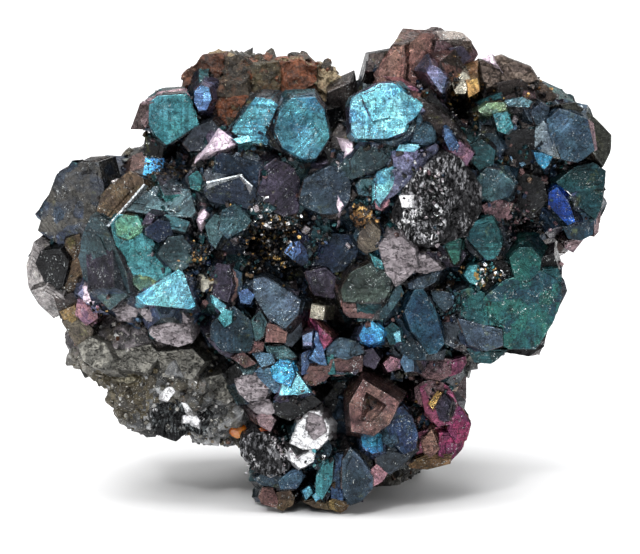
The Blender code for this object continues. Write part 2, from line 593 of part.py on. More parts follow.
def main():
    for old in list(bpy.data.objects):
        bpy.data.objects.remove(old)
    parts = bpy.data.collections.new("galena_specimen")
    cutters = bpy.data.collections.new("cutters")
    bpy.context.scene.collection.children.link(parts)
    bpy.context.scene.collection.children.link(cutters)

    galena = joined(galena_solids(), "galena_crystals", parts)
    rock = joined(rock_solids(), "matrix_rock", parts)
    sphalerite = joined(sphalerite_solids(), "sphalerite_crystals", parts)

    rock_socket = joined(rock_solids(JOINT_GAP), "rock_socket", cutters)
    sphalerite_socket = joined(sphalerite_solids(JOINT_GAP), "sphalerite_socket", cutters)
    ground = as_object(ground_block(), "ground", cutters)
    cut_away(galena, rock_socket)
    cut_away(galena, sphalerite_socket)
    cut_away(rock, sphalerite_socket)
    cut_away(galena, ground)
    cut_away(rock, ground)
    remove_objects([rock_socket, sphalerite_socket, ground])
    bpy.data.collections.remove(cutters)

    finish(galena, surface_material("tarnished_galena", (0.06, 0.20, 0.25), 0.30, 1.0))
    finish(rock, surface_material("ore_rock", (0.15, 0.14, 0.12), 0.65, 0.2))
    finish(sphalerite, surface_material("sphalerite", (0.16, 0.06, 0.03), 0.30, 0.0))
    merge_short_edges(galena, GALENA_KEPT)


main()
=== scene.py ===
"""Looks of a galena specimen: tarnished galena crystals on ore rock, with sphalerite behind.

The crystals stand where the solids have them, laid out in millimetres as the best side is seen:
across to the right, up the view and out towards the viewer. Every mesh is brought to metres at its end.
"""

import math
import random
from typing import NamedTuple

import bmesh
import bpy
from mathutils import Matrix, Vector, noise
from mathutils.bvhtree import BVHTree


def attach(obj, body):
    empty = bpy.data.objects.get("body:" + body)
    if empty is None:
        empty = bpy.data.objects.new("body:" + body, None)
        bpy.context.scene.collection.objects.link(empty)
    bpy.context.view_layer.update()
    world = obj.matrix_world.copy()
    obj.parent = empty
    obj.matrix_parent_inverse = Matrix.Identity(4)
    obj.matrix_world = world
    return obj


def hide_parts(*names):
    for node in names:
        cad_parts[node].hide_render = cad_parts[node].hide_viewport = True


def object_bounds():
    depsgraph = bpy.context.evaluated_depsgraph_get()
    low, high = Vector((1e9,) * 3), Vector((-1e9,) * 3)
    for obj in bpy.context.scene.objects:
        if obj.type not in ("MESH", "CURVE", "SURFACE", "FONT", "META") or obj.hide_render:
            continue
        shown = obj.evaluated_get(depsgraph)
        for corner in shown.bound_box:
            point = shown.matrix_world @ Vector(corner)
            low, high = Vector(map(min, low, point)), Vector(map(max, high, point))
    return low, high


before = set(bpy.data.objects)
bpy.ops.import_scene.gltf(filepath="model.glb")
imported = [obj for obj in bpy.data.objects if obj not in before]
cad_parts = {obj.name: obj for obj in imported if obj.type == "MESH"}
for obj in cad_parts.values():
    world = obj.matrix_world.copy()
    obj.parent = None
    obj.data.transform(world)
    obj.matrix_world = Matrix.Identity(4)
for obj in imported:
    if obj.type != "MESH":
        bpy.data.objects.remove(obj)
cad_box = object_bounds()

# Where things stand
MM = 0.001
VIEW_TILT = math.radians(12.0)
FOOT_HEIGHT = 1.3
MIDDLE_ACROSS = -0.1
MIDDLE_OUT = -5.1
PIXELS_PER_MM = 10.0
PIXEL_MIDDLE = 318.0
PIXEL_FOOT = 513.0


class Habit(NamedTuple):
    """How far the octahedron's faces stand out, as a multiple of the cube's, and which face looks out."""

    octahedron: float
    cube_looks_out: bool


HEX = Habit(1.55, False)
TRI = Habit(1.86, False)
EIGHT = Habit(2.45, True)
DIAMOND = Habit(1.62, True)
BLOCK = Habit(2.82, True)


class Look(NamedTuple):
    """Tarnish colours in sRGB: the octahedral faces, what they shade into, and the cube faces."""

    face: tuple
    shade: tuple
    cube: tuple
    relief: str = "terraced"


class Crystal(NamedTuple):
    """A crystal by its main face: where the face's middle is and which way it looks. Millimetres, degrees."""

    name: str
    look: str
    across: float
    up: float
    out: float
    reach: float
    habit: Habit
    yaw: float = 0.0
    pitch: float = 0.0
    roll: float = 0.0
    long: float = 1.0
    thick: float = 0.8


class Facet(NamedTuple):
    """A flat crystal face by its outline, pairs of across and up, and the slope of its flanks in degrees."""

    name: str
    look: str
    out: float
    yaw: float
    pitch: float
    outline: tuple
    flank: float = 76.0


def facets(*rows):
    """Facets from rows with their values in order, the outlines in tenths of a millimetre."""
    return tuple(Facet(*row[:5], tuple(value / 10.0 for value in row[5]), *row[6:]) for row in rows)


class Lump(NamedTuple):
    """A rounded mass by its middle and its half sizes across, in depth and up. Millimetres."""

    across: float
    up: float
    out: float
    half_across: float
    half_deep: float
    half_up: float


# Tarnish colours by name
LOOKS = {
    "turquoise": Look((93, 167, 176), (55, 119, 127), (112, 104, 108)),
    "cyan": Look((142, 212, 227), (89, 159, 191), (120, 112, 140)),
    "cyan_pale": Look((146, 225, 240), (102, 180, 208), (120, 112, 140)),
    "azure": Look((76, 160, 204), (54, 110, 158), (116, 120, 150)),
    "azure_soft": Look((96, 132, 178), (66, 88, 130), (120, 110, 140)),
    "sea_blue": Look((90, 156, 172), (56, 112, 134), (112, 104, 108)),
    "royal": Look((28, 84, 156), (18, 52, 98), (52, 60, 80)),
    "ink_blue": Look((45, 65, 94), (31, 41, 63), (70, 64, 84)),
    "ink_teal": Look((47, 68, 83), (32, 49, 59), (74, 66, 72)),
    "navy": Look((31, 45, 65), (23, 34, 49), (58, 52, 62)),
    "navy_slate": Look((45, 56, 72), (31, 38, 50), (70, 64, 72)),
    "navy_teal": Look((36, 56, 70), (25, 38, 49), (60, 58, 66)),
    "teal": Look((47, 101, 104), (31, 70, 76), (78, 76, 86)),
    "grey_teal": Look((77, 106, 110), (50, 76, 81), (84, 84, 92)),
    "slate_teal": Look((56, 77, 83), (38, 54, 61), (78, 74, 80)),
    "steel_teal": Look((68, 99, 106), (47, 70, 81), (100, 96, 98)),
    "turquoise_dark": Look((64, 124, 134), (42, 86, 98), (80, 80, 90)),
    "sea_green": Look((38, 94, 88), (29, 63, 77), (72, 66, 70)),
    "green_teal": Look((47, 99, 86), (31, 68, 65), (70, 74, 60)),
    # Painted highlight: a teal face brightened towards yellow-green where it catches the light
    "sun_teal": Look((122, 178, 146), (80, 150, 146), (112, 104, 84)),
    "green_gold": Look((108, 128, 96), (58, 96, 92), (96, 84, 60)),
    "green_slate": Look((63, 76, 70), (43, 54, 54), (84, 76, 66)),
    "deep_sea": Look((41, 79, 99), (29, 54, 74), (60, 60, 72)),
    "deep_sea_dark": Look((31, 58, 72), (22, 41, 54), (60, 58, 66)),
    "deep_teal": Look((31, 68, 74), (22, 49, 54), (62, 58, 62)),
    "steel": Look((80, 110, 132), (56, 80, 100), (136, 122, 116)),
    "steel_pale": Look((126, 140, 148), (92, 106, 118), (130, 124, 122)),
    "steel_slate": Look((61, 77, 92), (43, 56, 68), (104, 92, 92)),
    "slate": Look((54, 61, 70), (40, 46, 53), (82, 74, 76)),
    "violet_slate": Look((67, 61, 77), (45, 43, 56), (100, 84, 92)),
    "lavender": Look((148, 148, 184), (102, 118, 152), (156, 120, 134)),
    "lavender_dark": Look((108, 108, 138), (76, 82, 106), (130, 104, 116)),
    "mauve_grey": Look((97, 86, 97), (68, 61, 72), (120, 104, 110)),
    "bronze": Look((101, 77, 74), (76, 56, 58), (132, 102, 96)),
    "bronze_red": Look((124, 94, 88), (92, 68, 68), (104, 76, 74)),
    "pale_bronze": Look((150, 140, 134), (112, 100, 96), (140, 124, 116)),
    "rose": Look((160, 118, 128), (112, 86, 110), (150, 110, 104)),
    "rose_bright": Look((206, 142, 160), (150, 100, 126), (180, 130, 140)),
    "rose_grey": Look((138, 116, 120), (100, 84, 92), (130, 112, 112)),
    "rose_pale": Look((174, 146, 148), (128, 104, 114), (150, 130, 130)),
    "plum": Look((112, 86, 90), (76, 58, 64), (106, 84, 84)),
    "plum_red": Look((134, 70, 96), (88, 50, 68), (128, 82, 78)),
    "maroon": Look((134, 100, 92), (92, 68, 64), (148, 118, 108)),
    "maroon_rose": Look((146, 108, 100), (100, 76, 72), (156, 126, 116)),
    "magenta": Look((138, 54, 92), (84, 38, 68), (150, 84, 66)),
    "magenta_pale": Look((170, 90, 122), (108, 56, 84), (150, 100, 96)),
    "umber": Look((65, 58, 56), (40, 37, 40), (98, 84, 80)),
    "umber_blue": Look((82, 80, 76), (58, 68, 84), (96, 84, 76)),
    "umber_green": Look((70, 72, 65), (49, 50, 47), (94, 84, 72)),
    "umber_plum": Look((102, 88, 78), (64, 56, 52), (112, 96, 86)),
    "olive": Look((92, 76, 58), (63, 52, 43), (92, 76, 66)),
    "olive_gold": Look((126, 102, 68), (84, 66, 46), (104, 86, 66)),
    "olive_grey": Look((94, 86, 76), (67, 61, 56), (96, 88, 80)),
    "gold": Look((186, 148, 92), (124, 92, 58), (160, 124, 84)),
    "cream": Look((204, 198, 180), (164, 158, 140), (196, 190, 164)),
    # Painted highlight: pale pink-white glints on small faces
    "pearl": Look((240, 220, 232), (196, 176, 196), (200, 180, 190), "bright"),
    # Painted highlight: thin lit lines along crystal edges
    "silver_line": Look((206, 212, 216), (160, 168, 174), (170, 170, 176)),
    "pale_grey": Look((150, 145, 144), (110, 105, 106), (130, 124, 124)),
    "black": Look((31, 32, 34), (20, 20, 22), (48, 45, 46)),
    "lead_plain": Look((150, 142, 146), (124, 116, 120), (128, 122, 128), "cracked"),
    "lead": Look((156, 148, 152), (128, 120, 124), (134, 127, 130), "cracked"),
    # Painted reflection: fresh metal's grey brightened to near white, as where it mirrors the lamps
    "silver": Look((250, 250, 252), (206, 206, 210), (200, 200, 204), "bright"),
    "grey_rock": Look((140, 138, 130), (96, 95, 90), (100, 98, 92), "cracked"),
    "rough_brown": Look((118, 104, 94), (84, 72, 66), (116, 104, 92), "cracked"),
    "streaky_rock": Look((128, 134, 136), (60, 64, 66), (90, 92, 92), "etched"),
    "beige_rock": Look((150, 144, 124), (96, 88, 68), (110, 104, 84), "cracked"),
    "etched": Look((160, 160, 164), (50, 50, 52), (116, 116, 120), "etched"),
}

# Galena faces seen in the photograph
FACETS = facets(
    ("left_end_upper", "umber_blue", 3.2, -22, 6, (-280, 283, -274, 303, -261, 338, -238, 349, -220, 350,
     -214, 323, -222, 291, -232, 271, -252, 265, -272, 277), 84),
    ("left_end_cap", "black", 3.5, -22, 6, (-237, 346, -221, 348, -220, 338, -235, 336), 84),
    ("left_end_strip", "pale_grey", 2.6, 38, 20, (-220, 350, -214, 347, -203, 332, -214, 327), 84),
    ("left_end_navy", "navy", 3.55, -20, 5, (-235, 331, -218, 333, -216, 323, -232, 319)),
    ("pale_tab", "pale_grey", 5.0, 0, 30, (-205, 332, -193, 336, -189, 332, -200, 325), 84),
    ("big_left_top_right", "teal", 8.1, 10, 30, (-160, 301, -155, 320, -131, 321, -123, 303, -126, 293), 79),
    ("flank_blade", "slate_teal", 7.9, -34, 0, (-208, 247, -196, 237, -191, 221, -200, 213)),
    ("flank_mauve", "mauve_grey", 7.4, -14, -10, (-206, 211, -194, 222, -186, 214, -180, 199, -197, 201)),
    ("flank_dark", "slate_teal", 8.2, -10, 0, (-191, 225, -180, 229, -172, 208, -177, 200, -185, 207)),
    ("big_left", "turquoise", 9.75, 4, 8, (-205, 287, -197, 297, -178, 296, -146, 243, -148, 231, -166, 223,
     -182, 231, -196, 251), 79),
    ("big_left_step", "green_gold", 10.15, 4, 14, (-184, 243, -176, 247, -147, 230, -160, 222, -174, 222,
     -182, 229)),
    ("bright_triangle", "cyan_pale", 10.75, 2, 14, (-179, 217, -139, 243, -134, 240, -122, 208, -128, 205,
     -170, 209), 79),
    ("violet_step", "navy", 10.4, 4, 2, (-170, 284, -158, 292, -148, 289, -144, 277, -158, 271, -170, 278)),
    ("violet_step_side", "violet_slate", 10.0, -30, 8, (-176, 286, -169, 299, -163, 296, -168, 284, -173,
     280)),
    ("violet_step_top", "deep_teal", 9.8, 6, 40, (-168, 298, -150, 298, -128, 291, -132, 281, -146, 285)),
    ("teal_hexagon", "slate_teal", 10.3, 8, -6, (-158, 259, -148, 274, -134, 276, -127, 266, -125, 251, -137,
     240, -145, 245)),
    ("lead_block", "lead", 9.9, -2, -12, (-175, 199, -172, 207, -140, 205, -130, 195, -130, 189, -150, 188,
     -168, 192)),
    ("lead_block_low", "lead", 9.7, -4, -18, (-166, 179, -164, 185, -148, 190, -128, 185, -126, 171, -140,
     167, -158, 172)),
    ("shelf", "turquoise", 5.4, 4, 8, (-167, 409, -158, 415, -131, 417, -125, 405, -119, 388, -150, 368, -160,
     377, -167, 391), 84),
    ("shelf_side", "rose_grey", 4.9, -42, 6, (-177, 408, -168, 412, -166, 397, -172, 385, -176, 391), 84),
    ("shelf_back", "rose_grey", 4.6, 0, 58, (-176, 409, -158, 420, -134, 424, -129, 417, -168, 409), 84),
    ("blue_bead", "azure_soft", 5.4, -10, 10, (-122, 420, -116, 426, -109, 423, -107, 413, -111, 403, -118,
     402, -122, 410)),
    ("slate_wedge", "slate", 5.9, -6, 10, (-133, 370, -123, 383, -106, 391, -99, 383, -109, 363, -126, 362)),
    ("flash_triangle", "pearl", 7.3, 6, 22, (-110, 360, -97, 382, -80, 369, -94, 364)),
    ("sea_left", "sea_blue", 7.2, -10, 12, (-85, 381, -62, 413, -47, 412, -35, 400, -33, 379, -42, 367, -72,
     371), 79),
    ("sea_chip", "cyan", 7.6, 0, 25, (-83, 373, -70, 376, -67, 371, -78, 369)),
    ("sea_right", "sea_blue", 7.9, 5, 10, (-42, 381, -37, 400, -26, 412, -3, 413, 6, 400, 11, 375, -2, 355,
     -15, 354, -34, 365), 79),
    ("sea_crack", "black", 8.0, 0, 8, (-51, 383, -48, 382, -36, 361, -40, 362)),
    ("night_block", "navy_slate", 8.8, 2, 4, (-112, 319, -110, 329, -77, 336, -64, 325, -56, 312, -68, 304,
     -106, 311)),
    ("night_line", "silver_line", 8.95, 0, 40, (-110, 331, -77, 338, -76, 337, -109, 329)),
    ("night_line_right", "silver_line", 8.9, 20, 40, (-78, 337, -77, 338, -65, 327, -66, 326)),
    ("night_top", "slate", 7.6, 0, 32, (-113, 338, -106, 348, -92, 359, -62, 360, -54, 347, -63, 331, -108,
     330)),
    ("violet_slab", "violet_slate", 8.0, 16, 2, (-59, 318, -57, 341, -41, 353, -24, 343, -18, 327, -20, 301,
     -34, 297, -50, 305)),
    ("violet_slab_low", "deep_teal", 8.4, 0, -6, (-78, 306, -56, 311, -42, 304, -52, 296, -70, 299)),
    ("small_teal_a", "teal", 7.7, -8, 10, (-128, 335, -120, 341, -114, 333, -118, 322, -126, 325)),
    ("grey_teal_gem", "steel_teal", 9.6, 6, 8, (-97, 283, -94, 301, -82, 307, -67, 292, -72, 285, -89, 275),
     79),
    ("teal_splinter", "grey_teal", 9.3, -20, 2, (-111, 287, -103, 297, -96, 295, -94, 282, -102, 265, -108,
     273)),
    ("pink_bit_a", "pearl", 9.0, 0, 20, (-119, 294, -113, 301, -111, 298, -116, 289)),
    ("blue_gem_a", "azure_soft", 8.4, -18, 10, (-33, 261, -27, 269, -19, 271, -18, 261, -25, 254)),
    ("blue_gem_b", "ink_blue", 8.4, 12, 0, (-24, 254, -19, 271, -12, 263, -10, 251, -16, 248)),
    ("deep_block", "navy", 7.0, -4, 6, (-6, 276, 12, 279, 32, 277, 39, 261, 34, 245, 16, 241, -6, 247)),
    ("deep_block_low", "violet_slate", 7.2, 0, -10, (-12, 241, 8, 244, 24, 229, 18, 215, -4, 219)),
    ("violet_drum", "violet_slate", 9.5, -16, 6, (-107, 237, -100, 249, -88, 247, -86, 229, -90, 212, -104,
     218)),
    ("violet_drum_side", "bronze", 9.3, 28, 2, (-89, 223, -87, 245, -78, 236, -76, 223, -85, 212)),
    ("blue_violet_bead", "azure_soft", 9.5, 0, 14, (-78, 220, -71, 224, -64, 218, -68, 210, -76, 211)),
    ("slate_roof", "steel_slate", 9.7, -6, 20, (-64, 233, -54, 236, -18, 213, -21, 199, -33, 186, -50, 197,
     -63, 217), 79),
    ("bronze_front", "bronze_red", 9.7, 0, -10, (-52, 172, -50, 188, -45, 192, -30, 188, -33, 171)),
    ("bronze_front_left", "steel_teal", 9.6, -24, 0, (-68, 189, -58, 202, -52, 191, -55, 178, -62, 173)),
    ("roof_shadow", "slate", 9.0, 16, -8, (-33, 171, -31, 187, -18, 204, -16, 179, -26, 167)),
    ("ink_hexagon", "ink_teal", 9.3, -4, 4, (-106, 187, -96, 201, -84, 206, -68, 192, -65, 177, -68, 163, -94,
     163, -106, 175), 79),
    ("ink_low", "violet_slate", 8.9, -4, -24, (-108, 172, -66, 161, -80, 152, -96, 159)),
    ("cyan_dart", "cyan", 9.6, 4, 14, (-106, 219, -92, 208, -96, 201, -101, 207)),
    ("teal_chip", "turquoise", 9.8, -6, 10, (-98, 195, -94, 204, -86, 201, -87, 191, -93, 187)),
    ("bronze_roof", "bronze_red", 9.2, 0, 12, (-74, 166, -66, 172, -54, 171, -56, 163, -68, 161)),
    ("copper_nub", "bronze", 9.2, 0, -8, (-85, 155, -75, 161, -62, 150, -73, 146)),
    ("teal_ledge", "steel_teal", 8.8, 0, 16, (-52, 167, -34, 167, -22, 157, -34, 153, -48, 157)),
    ("magenta_dart", "magenta_pale", 10.0, 10, 6, (0, 188, 13, 175, 6, 165, 3, 175)),
    ("lavender_dart", "lavender", 9.8, -12, 8, (-15, 177, -6, 181, -7, 168, -14, 169)),
    ("lavender_dart_b", "azure_soft", 9.9, -4, 6, (-3, 172, -2, 181, 3, 176, 7, 165, 0, 161)),
    ("teal_ribbon", "azure_soft", 9.9, -4, 10, (-8, 155, -2, 165, 4, 167, 8, 149, 2, 150)),
    ("bronze_blue", "ink_teal", 9.5, 4, 28, (9, 167, 22, 175, 40, 171, 45, 161, 28, 155, 10, 159)),
    ("bronze_blue_low", "bronze", 9.8, 6, -8, (10, 143, 14, 153, 28, 155, 43, 157, 43, 142, 18, 137)),
    ("bronze_blue_edge", "teal", 9.9, -20, 0, (9, 158, 15, 158, 17, 140, 10, 140)),
    ("bronze_toe", "ink_blue", 9.2, -6, 22, (-16, 159, -8, 163, 0, 157, 8, 147, -16, 139)),
    ("bronze_toe_low", "bronze", 9.6, -4, -14, (-16, 132, -8, 146, 9, 147, 10, 138, 1, 130, -8, 129)),
    ("blue_opal", "azure", 9.9, -4, 12, (42, 178, 47, 188, 54, 191, 65, 182, 62, 173, 52, 170, 44, 173)),
    ("dark_teal_nub", "deep_teal", 9.3, 6, 4, (66, 183, 74, 190, 83, 183, 83, 171, 72, 169)),
    ("cyan_fleck", "cyan", 9.8, 0, 10, (76, 179, 81, 182, 82, 173, 78, 172)),
    ("violet_spark", "violet_slate", 9.2, 0, 0, (43, 161, 54, 164, 61, 155, 56, 145, 46, 149)),
    ("blue_flame", "azure", 9.7, -8, 18, (-46, 146, -38, 153, -28, 152, -24, 139, -28, 128, -42, 133)),
    ("blue_flame_bright", "cyan", 9.8, 4, 20, (-38, 119, -30, 149, -22, 142, -8, 122, -20, 120)),
    ("blue_flame_side", "steel", 9.2, -10, 16, (-66, 160, -60, 161, -46, 159, -44, 151, -56, 147)),
    ("blue_flame_low", "steel", 9.2, -14, 6, (-63, 141, -56, 147, -44, 143, -34, 125, -44, 121, -56, 133)),
    ("black_face", "black", 8.9, 0, -18, (-44, 109, -36, 118, -10, 120, 2, 111, -12, 101, -28, 93, -42, 99)),
    ("lead_flake", "lead", 8.9, -8, 4, (-82, 132, -72, 139, -62, 136, -48, 123, -54, 115, -70, 113, -79,
     121)),
    ("lead_flake_low", "lead", 8.7, 0, -8, (-66, 110, -50, 113, -42, 103, -53, 96, -63, 102)),
    ("lead_flake_rose", "rose_grey", 8.7, 4, 0, (-62, 97, -50, 101, -43, 93, -48, 82, -57, 88)),
    ("blue_shoulder", "ink_blue", 8.9, 16, 4, (68, 89, 72, 102, 84, 106, 93, 95, 99, 80, 97, 65, 86, 60, 74,
     73)),
    ("blue_shoulder_bright", "steel", 9.2, -6, 12, (62, 85, 69, 90, 76, 85, 79, 72, 72, 67, 64, 72)),
    ("dark_low", "slate", 8.4, 4, -12, (59, 56, 72, 65, 93, 60, 84, 48, 72, 39, 60, 49), 84),
    ("cyan_nub", "azure", 9.6, -4, 14, (44, 77, 54, 83, 62, 81, 64, 63, 54, 61, 45, 68)),
    ("blue_pillar", "steel_slate", 8.6, 12, -2, (25, 51, 33, 65, 44, 53, 54, 36, 54, 25, 44, 13, 32, 8, 25,
     23), 84),
    ("blue_pillar_left", "ink_blue", 8.4, -18, 0, (13, 55, 25, 58, 25, 13, 13, 16)),
    ("cyan_pillar", "turquoise_dark", 8.4, -12, 0, (-2, 21, -1, 37, 9, 57, 15, 53, 13, 31, 4, 14)),
    ("cyan_drop_a", "cyan", 8.0, 0, 10, (-15, 22, -9, 26, -6, 20, -12, 14), 84),
    ("cyan_drop_b", "cyan", 8.0, 0, 10, (-5, 17, 0, 21, 3, 16, -2, 12), 84),
    ("pink_side", "rose", 7.4, 10, -10, (51, 40, 60, 49, 71, 42, 64, 32, 56, 27), 84),
    ("orange_toe", "olive_gold", 7.4, 4, -8, (11, 10, 22, 19, 33, 13, 28, 3, 22, 0, 13, 4), 84),
    ("pink_toe", "olive", 7.0, 0, -14, (-15, 11, 0, 14, 14, 10, 14, 2, -2, 5), 84),
    ("brown_toe", "bronze_red", 6.9, -10, -4, (-59, 16, -54, 24, -46, 24, -41, 13, -42, 5, -56, 9), 84),
    ("brown_toe_right", "olive", 6.9, 6, -6, (-42, 5, -41, 19, -30, 24, -24, 15, -26, 7, -35, 2), 84),
    ("slate_bottom", "steel_slate", 7.6, -10, 2, (-64, 34, -50, 41, -35, 36, -38, 25, -56, 28), 84),
    ("slate_bottom_right", "steel", 7.8, 8, 2, (-39, 32, -28, 41, -20, 43, -16, 35, -22, 25, -37, 24)),
    ("lead_ribbed", "etched", 7.9, -8, -4, (-78, 71, -64, 81, -50, 77, -38, 67, -27, 57, -31, 43, -48, 36,
     -63, 43, -76, 57), 84),
    ("magenta_mass", "plum_red", 4.8, 8, 4, (102, 125, 119, 133, 131, 125, 140, 108, 134, 89, 120, 87, 108,
     101), 84),
    ("magenta_ridge", "violet_slate", 5.2, -16, 6, (116, 111, 126, 118, 133, 110, 130, 93, 122, 93), 84),
    ("magenta_right", "magenta", 4.4, 20, 0, (131, 83, 132, 101, 142, 106, 153, 89, 149, 73, 139, 69), 84),
    ("magenta_left", "maroon", 4.6, -10, -4, (105, 72, 114, 82, 121, 63, 112, 56, 106, 61)),
    ("magenta_rim", "olive_gold", 4.0, 0, -20, (90, 50, 110, 56, 134, 58, 132, 48, 110, 43, 93, 44), 84),
    ("gold_blade", "gold", 5.3, -14, 10, (111, 110, 119, 121, 123, 119, 115, 104)),
    ("plum_shelf", "plum", 6.0, -4, 6, (100, 147, 120, 155, 132, 153, 132, 139, 122, 133, 106, 136), 84),
    ("plum_shelf_right", "plum_red", 5.8, 14, 2, (130, 151, 147, 156, 148, 150, 142, 141, 132, 137), 84),
    ("bronze_pair_a", "rose", 8.6, 0, 10, (66, 150, 73, 156, 82, 153, 81, 145, 70, 142)),
    ("teal_wedge", "steel", 8.8, 0, 4, (83, 151, 87, 161, 94, 152, 95, 143, 87, 142)),
    ("crown_step", "steel", 9.5, 8, 12, (84, 376, 85, 387, 99, 401, 103, 391, 95, 377)),
    ("crown_step_low", "steel", 9.4, 6, 10, (93, 370, 95, 379, 105, 387, 113, 384, 115, 371, 103, 368)),
    ("crown_druse", "lavender_dark", 9.2, 26, 20, (82, 416, 92, 415, 106, 401, 98, 399, 88, 405)),
    ("cyan_chip", "cyan", 9.7, 0, 26, (78, 363, 85, 368, 99, 367, 96, 362)),
    ("violet_wedge", "lavender", 9.9, 2, 8, (74, 361, 103, 361, 87, 343, 76, 346)),
    ("violet_blade", "lavender_dark", 9.7, 14, 2, (68, 313, 70, 327, 75, 341, 116, 368, 119, 361, 109, 347,
     76, 317)),
    ("cyan_blade", "cyan", 9.9, -8, 10, (56, 333, 70, 343, 76, 345, 73, 332, 63, 320, 56, 313)),
    ("pink_end", "rose", 9.7, 0, 4, (57, 311, 67, 318, 71, 309, 63, 303, 58, 305)),
    ("dark_bar", "slate_teal", 9.3, -6, -2, (33, 352, 44, 366, 60, 375, 71, 371, 76, 361, 72, 349, 54, 341,
     34, 333)),
    ("dark_bar_end", "slate_teal", 8.5, -20, 4, (10, 345, 29, 363, 34, 351, 34, 333)),
    ("white_spot", "pearl", 9.0, 0, 14, (27, 369, 33, 368, 34, 363, 28, 358)),
    ("slate_hexagon", "steel_slate", 8.6, -4, 4, (-18, 311, -13, 332, 11, 345, 27, 341, 32, 327, 30, 313, 22,
     301, 7, 299, -9, 304), 79),
    ("white_sliver", "pearl", 9.0, 0, 10, (20, 316, 24, 307, 21, 300, 20, 307)),
    ("teal_knob", "steel_teal", 9.2, 0, 6, (38, 327, 44, 332, 54, 333, 58, 323, 52, 317, 41, 318)),
    ("black_ridge", "umber", 8.2, 12, 8, (90, 415, 102, 413, 129, 393, 153, 365, 144, 359, 106, 389)),
    ("violet_shard", "rose", 9.1, 10, 4, (132, 363, 137, 368, 142, 368, 154, 359, 146, 345, 138, 352)),
    ("violet_shard_blue", "azure_soft", 9.1, -4, 8, (125, 382, 130, 381, 139, 367, 137, 360, 130, 363, 126,
     372)),
    ("lilac_shard", "lavender", 6.3, 4, 6, (109, 438, 114, 445, 121, 441, 127, 434, 123, 419, 118, 425)),
    ("pink_sliver", "rose_bright", 6.6, 4, 14, (85, 425, 94, 424, 108, 417, 100, 413, 93, 417)),
    ("bronze_peak", "maroon", 2.4, -14, 10, (84, 435, 86, 457, 93, 469, 109, 482, 120, 472, 118, 453, 112,
     442, 94, 427), 84),
    ("bronze_flank", "maroon_rose", 2.4, -28, 10, (56, 439, 66, 451, 76, 461, 85, 466, 86, 455, 84, 433, 76,
     425, 60, 427), 84),
    ("bronze_peak_top", "pale_bronze", 1.6, 4, 62, (110, 482, 126, 483, 143, 480, 152, 472, 120, 471), 84),
    ("bronze_peak_right", "plum", 2.4, 22, 6, (115, 448, 119, 470, 150, 472, 159, 458, 152, 447, 138, 440,
     122, 439), 84),
    ("scale_a", "plum_red", 2.7, 16, 4, (116, 451, 120, 461, 130, 463, 134, 453, 128, 441, 119, 442)),
    ("scale_b", "violet_slate", 2.6, 24, 8, (132, 463, 144, 465, 152, 455, 142, 447, 134, 451)),
    ("plum_rocks", "rough_brown", 3.0, 6, 16, (162, 451, 182, 456, 210, 445, 218, 433, 202, 426, 182, 423,
     166, 431), 84),
    ("plum_rocks_white", "pearl", 3.3, -20, 30, (164, 453, 172, 457, 177, 447), 84),
    ("olive_rim", "umber_plum", 2.0, 16, 18, (206, 427, 216, 433, 227, 427, 238, 417, 230, 411, 212, 417),
     84),
    ("bracket_teal", "green_gold", 7.0, -4, 22, (160, 402, 169, 408, 183, 409, 186, 402, 173, 399, 162, 399)),
    ("bracket_teal_leg", "turquoise", 7.0, 8, 4, (173, 401, 185, 406, 193, 385, 186, 379, 179, 382)),
    ("bracket_slate", "steel_slate", 6.2, 10, 10, (212, 400, 222, 408, 229, 404, 227, 393, 217, 388)),
    ("bracket_bar", "steel_teal", 6.2, 0, 30, (186, 411, 202, 414, 212, 410, 208, 405, 190, 406)),
    ("bracket_arm", "steel_slate", 6.0, 26, 6, (204, 405, 211, 409, 220, 399, 216, 389, 210, 393)),
    ("bracket_low", "deep_teal", 5.5, 0, 4, (186, 371, 190, 385, 214, 386, 218, 373, 204, 367)),
    ("teal_side", "steel_pale", 6.5, -22, 2, (216, 381, 223, 390, 229, 385, 239, 355, 228, 358, 216, 366)),
    ("steel_hexagon", "steel", 6.7, 4, 4, (228, 391, 240, 401, 249, 399, 267, 392, 274, 363, 258, 351, 244,
     353, 237, 358, 232, 373), 84),
    ("steel_hexagon_side", "rose_pale", 6.1, 48, 6, (267, 392, 274, 388, 278, 364, 273, 361, 270, 375), 84),
    ("right_end", "umber_green", 4.6, 40, 20, (242, 407, 257, 409, 277, 393, 293, 377, 291, 361, 284, 347,
     278, 355), 84),
    ("blue_chip", "azure", 6.9, -4, 10, (215, 359, 222, 358, 232, 355, 228, 348, 224, 344, 218, 351)),
    ("right_big", "deep_teal", 6.0, 14, 8, (238, 330, 257, 345, 274, 349, 286, 341, 282, 307, 276, 294, 254,
     312), 84),
    ("right_big_low", "deep_sea_dark", 5.8, 10, -14, (242, 291, 244, 315, 254, 312, 276, 293, 276, 280, 262,
     273, 250, 275), 84),
    ("right_line", "silver_line", 6.3, 20, 0, (247, 321, 249, 321, 275, 296, 274, 294), 84),
    ("deep_blue", "royal", 6.9, -16, -4, (230, 319, 238, 324, 248, 310, 255, 292, 248, 288, 230, 307)),
    ("right_edge", "rose_grey", 5.2, 40, -6, (276, 294, 282, 301, 280, 282, 276, 277), 84),
    ("teal_pane", "steel_teal", 8.2, 0, 6, (158, 332, 167, 343, 181, 341, 195, 328, 190, 317, 173, 312, 162,
     317), 79),
    ("dark_pane", "deep_teal", 7.9, 4, -4, (152, 366, 163, 371, 175, 361, 173, 348, 160, 343, 152, 352)),
    ("plum_nub", "plum", 8.0, 0, 0, (164, 307, 177, 313, 193, 308, 188, 297, 177, 290, 167, 298)),
    ("teal_boss", "teal", 8.8, -2, 4, (148, 275, 157, 291, 172, 296, 179, 283, 182, 268, 177, 255, 168, 253),
     79),
    ("green_splinter", "green_teal", 9.4, 0, 4, (122, 277, 134, 279, 142, 272, 140, 254, 135, 249)),
    ("ring_bit", "turquoise", 8.9, 0, 6, (146, 238, 150, 246, 159, 247, 163, 238, 157, 229, 151, 232)),
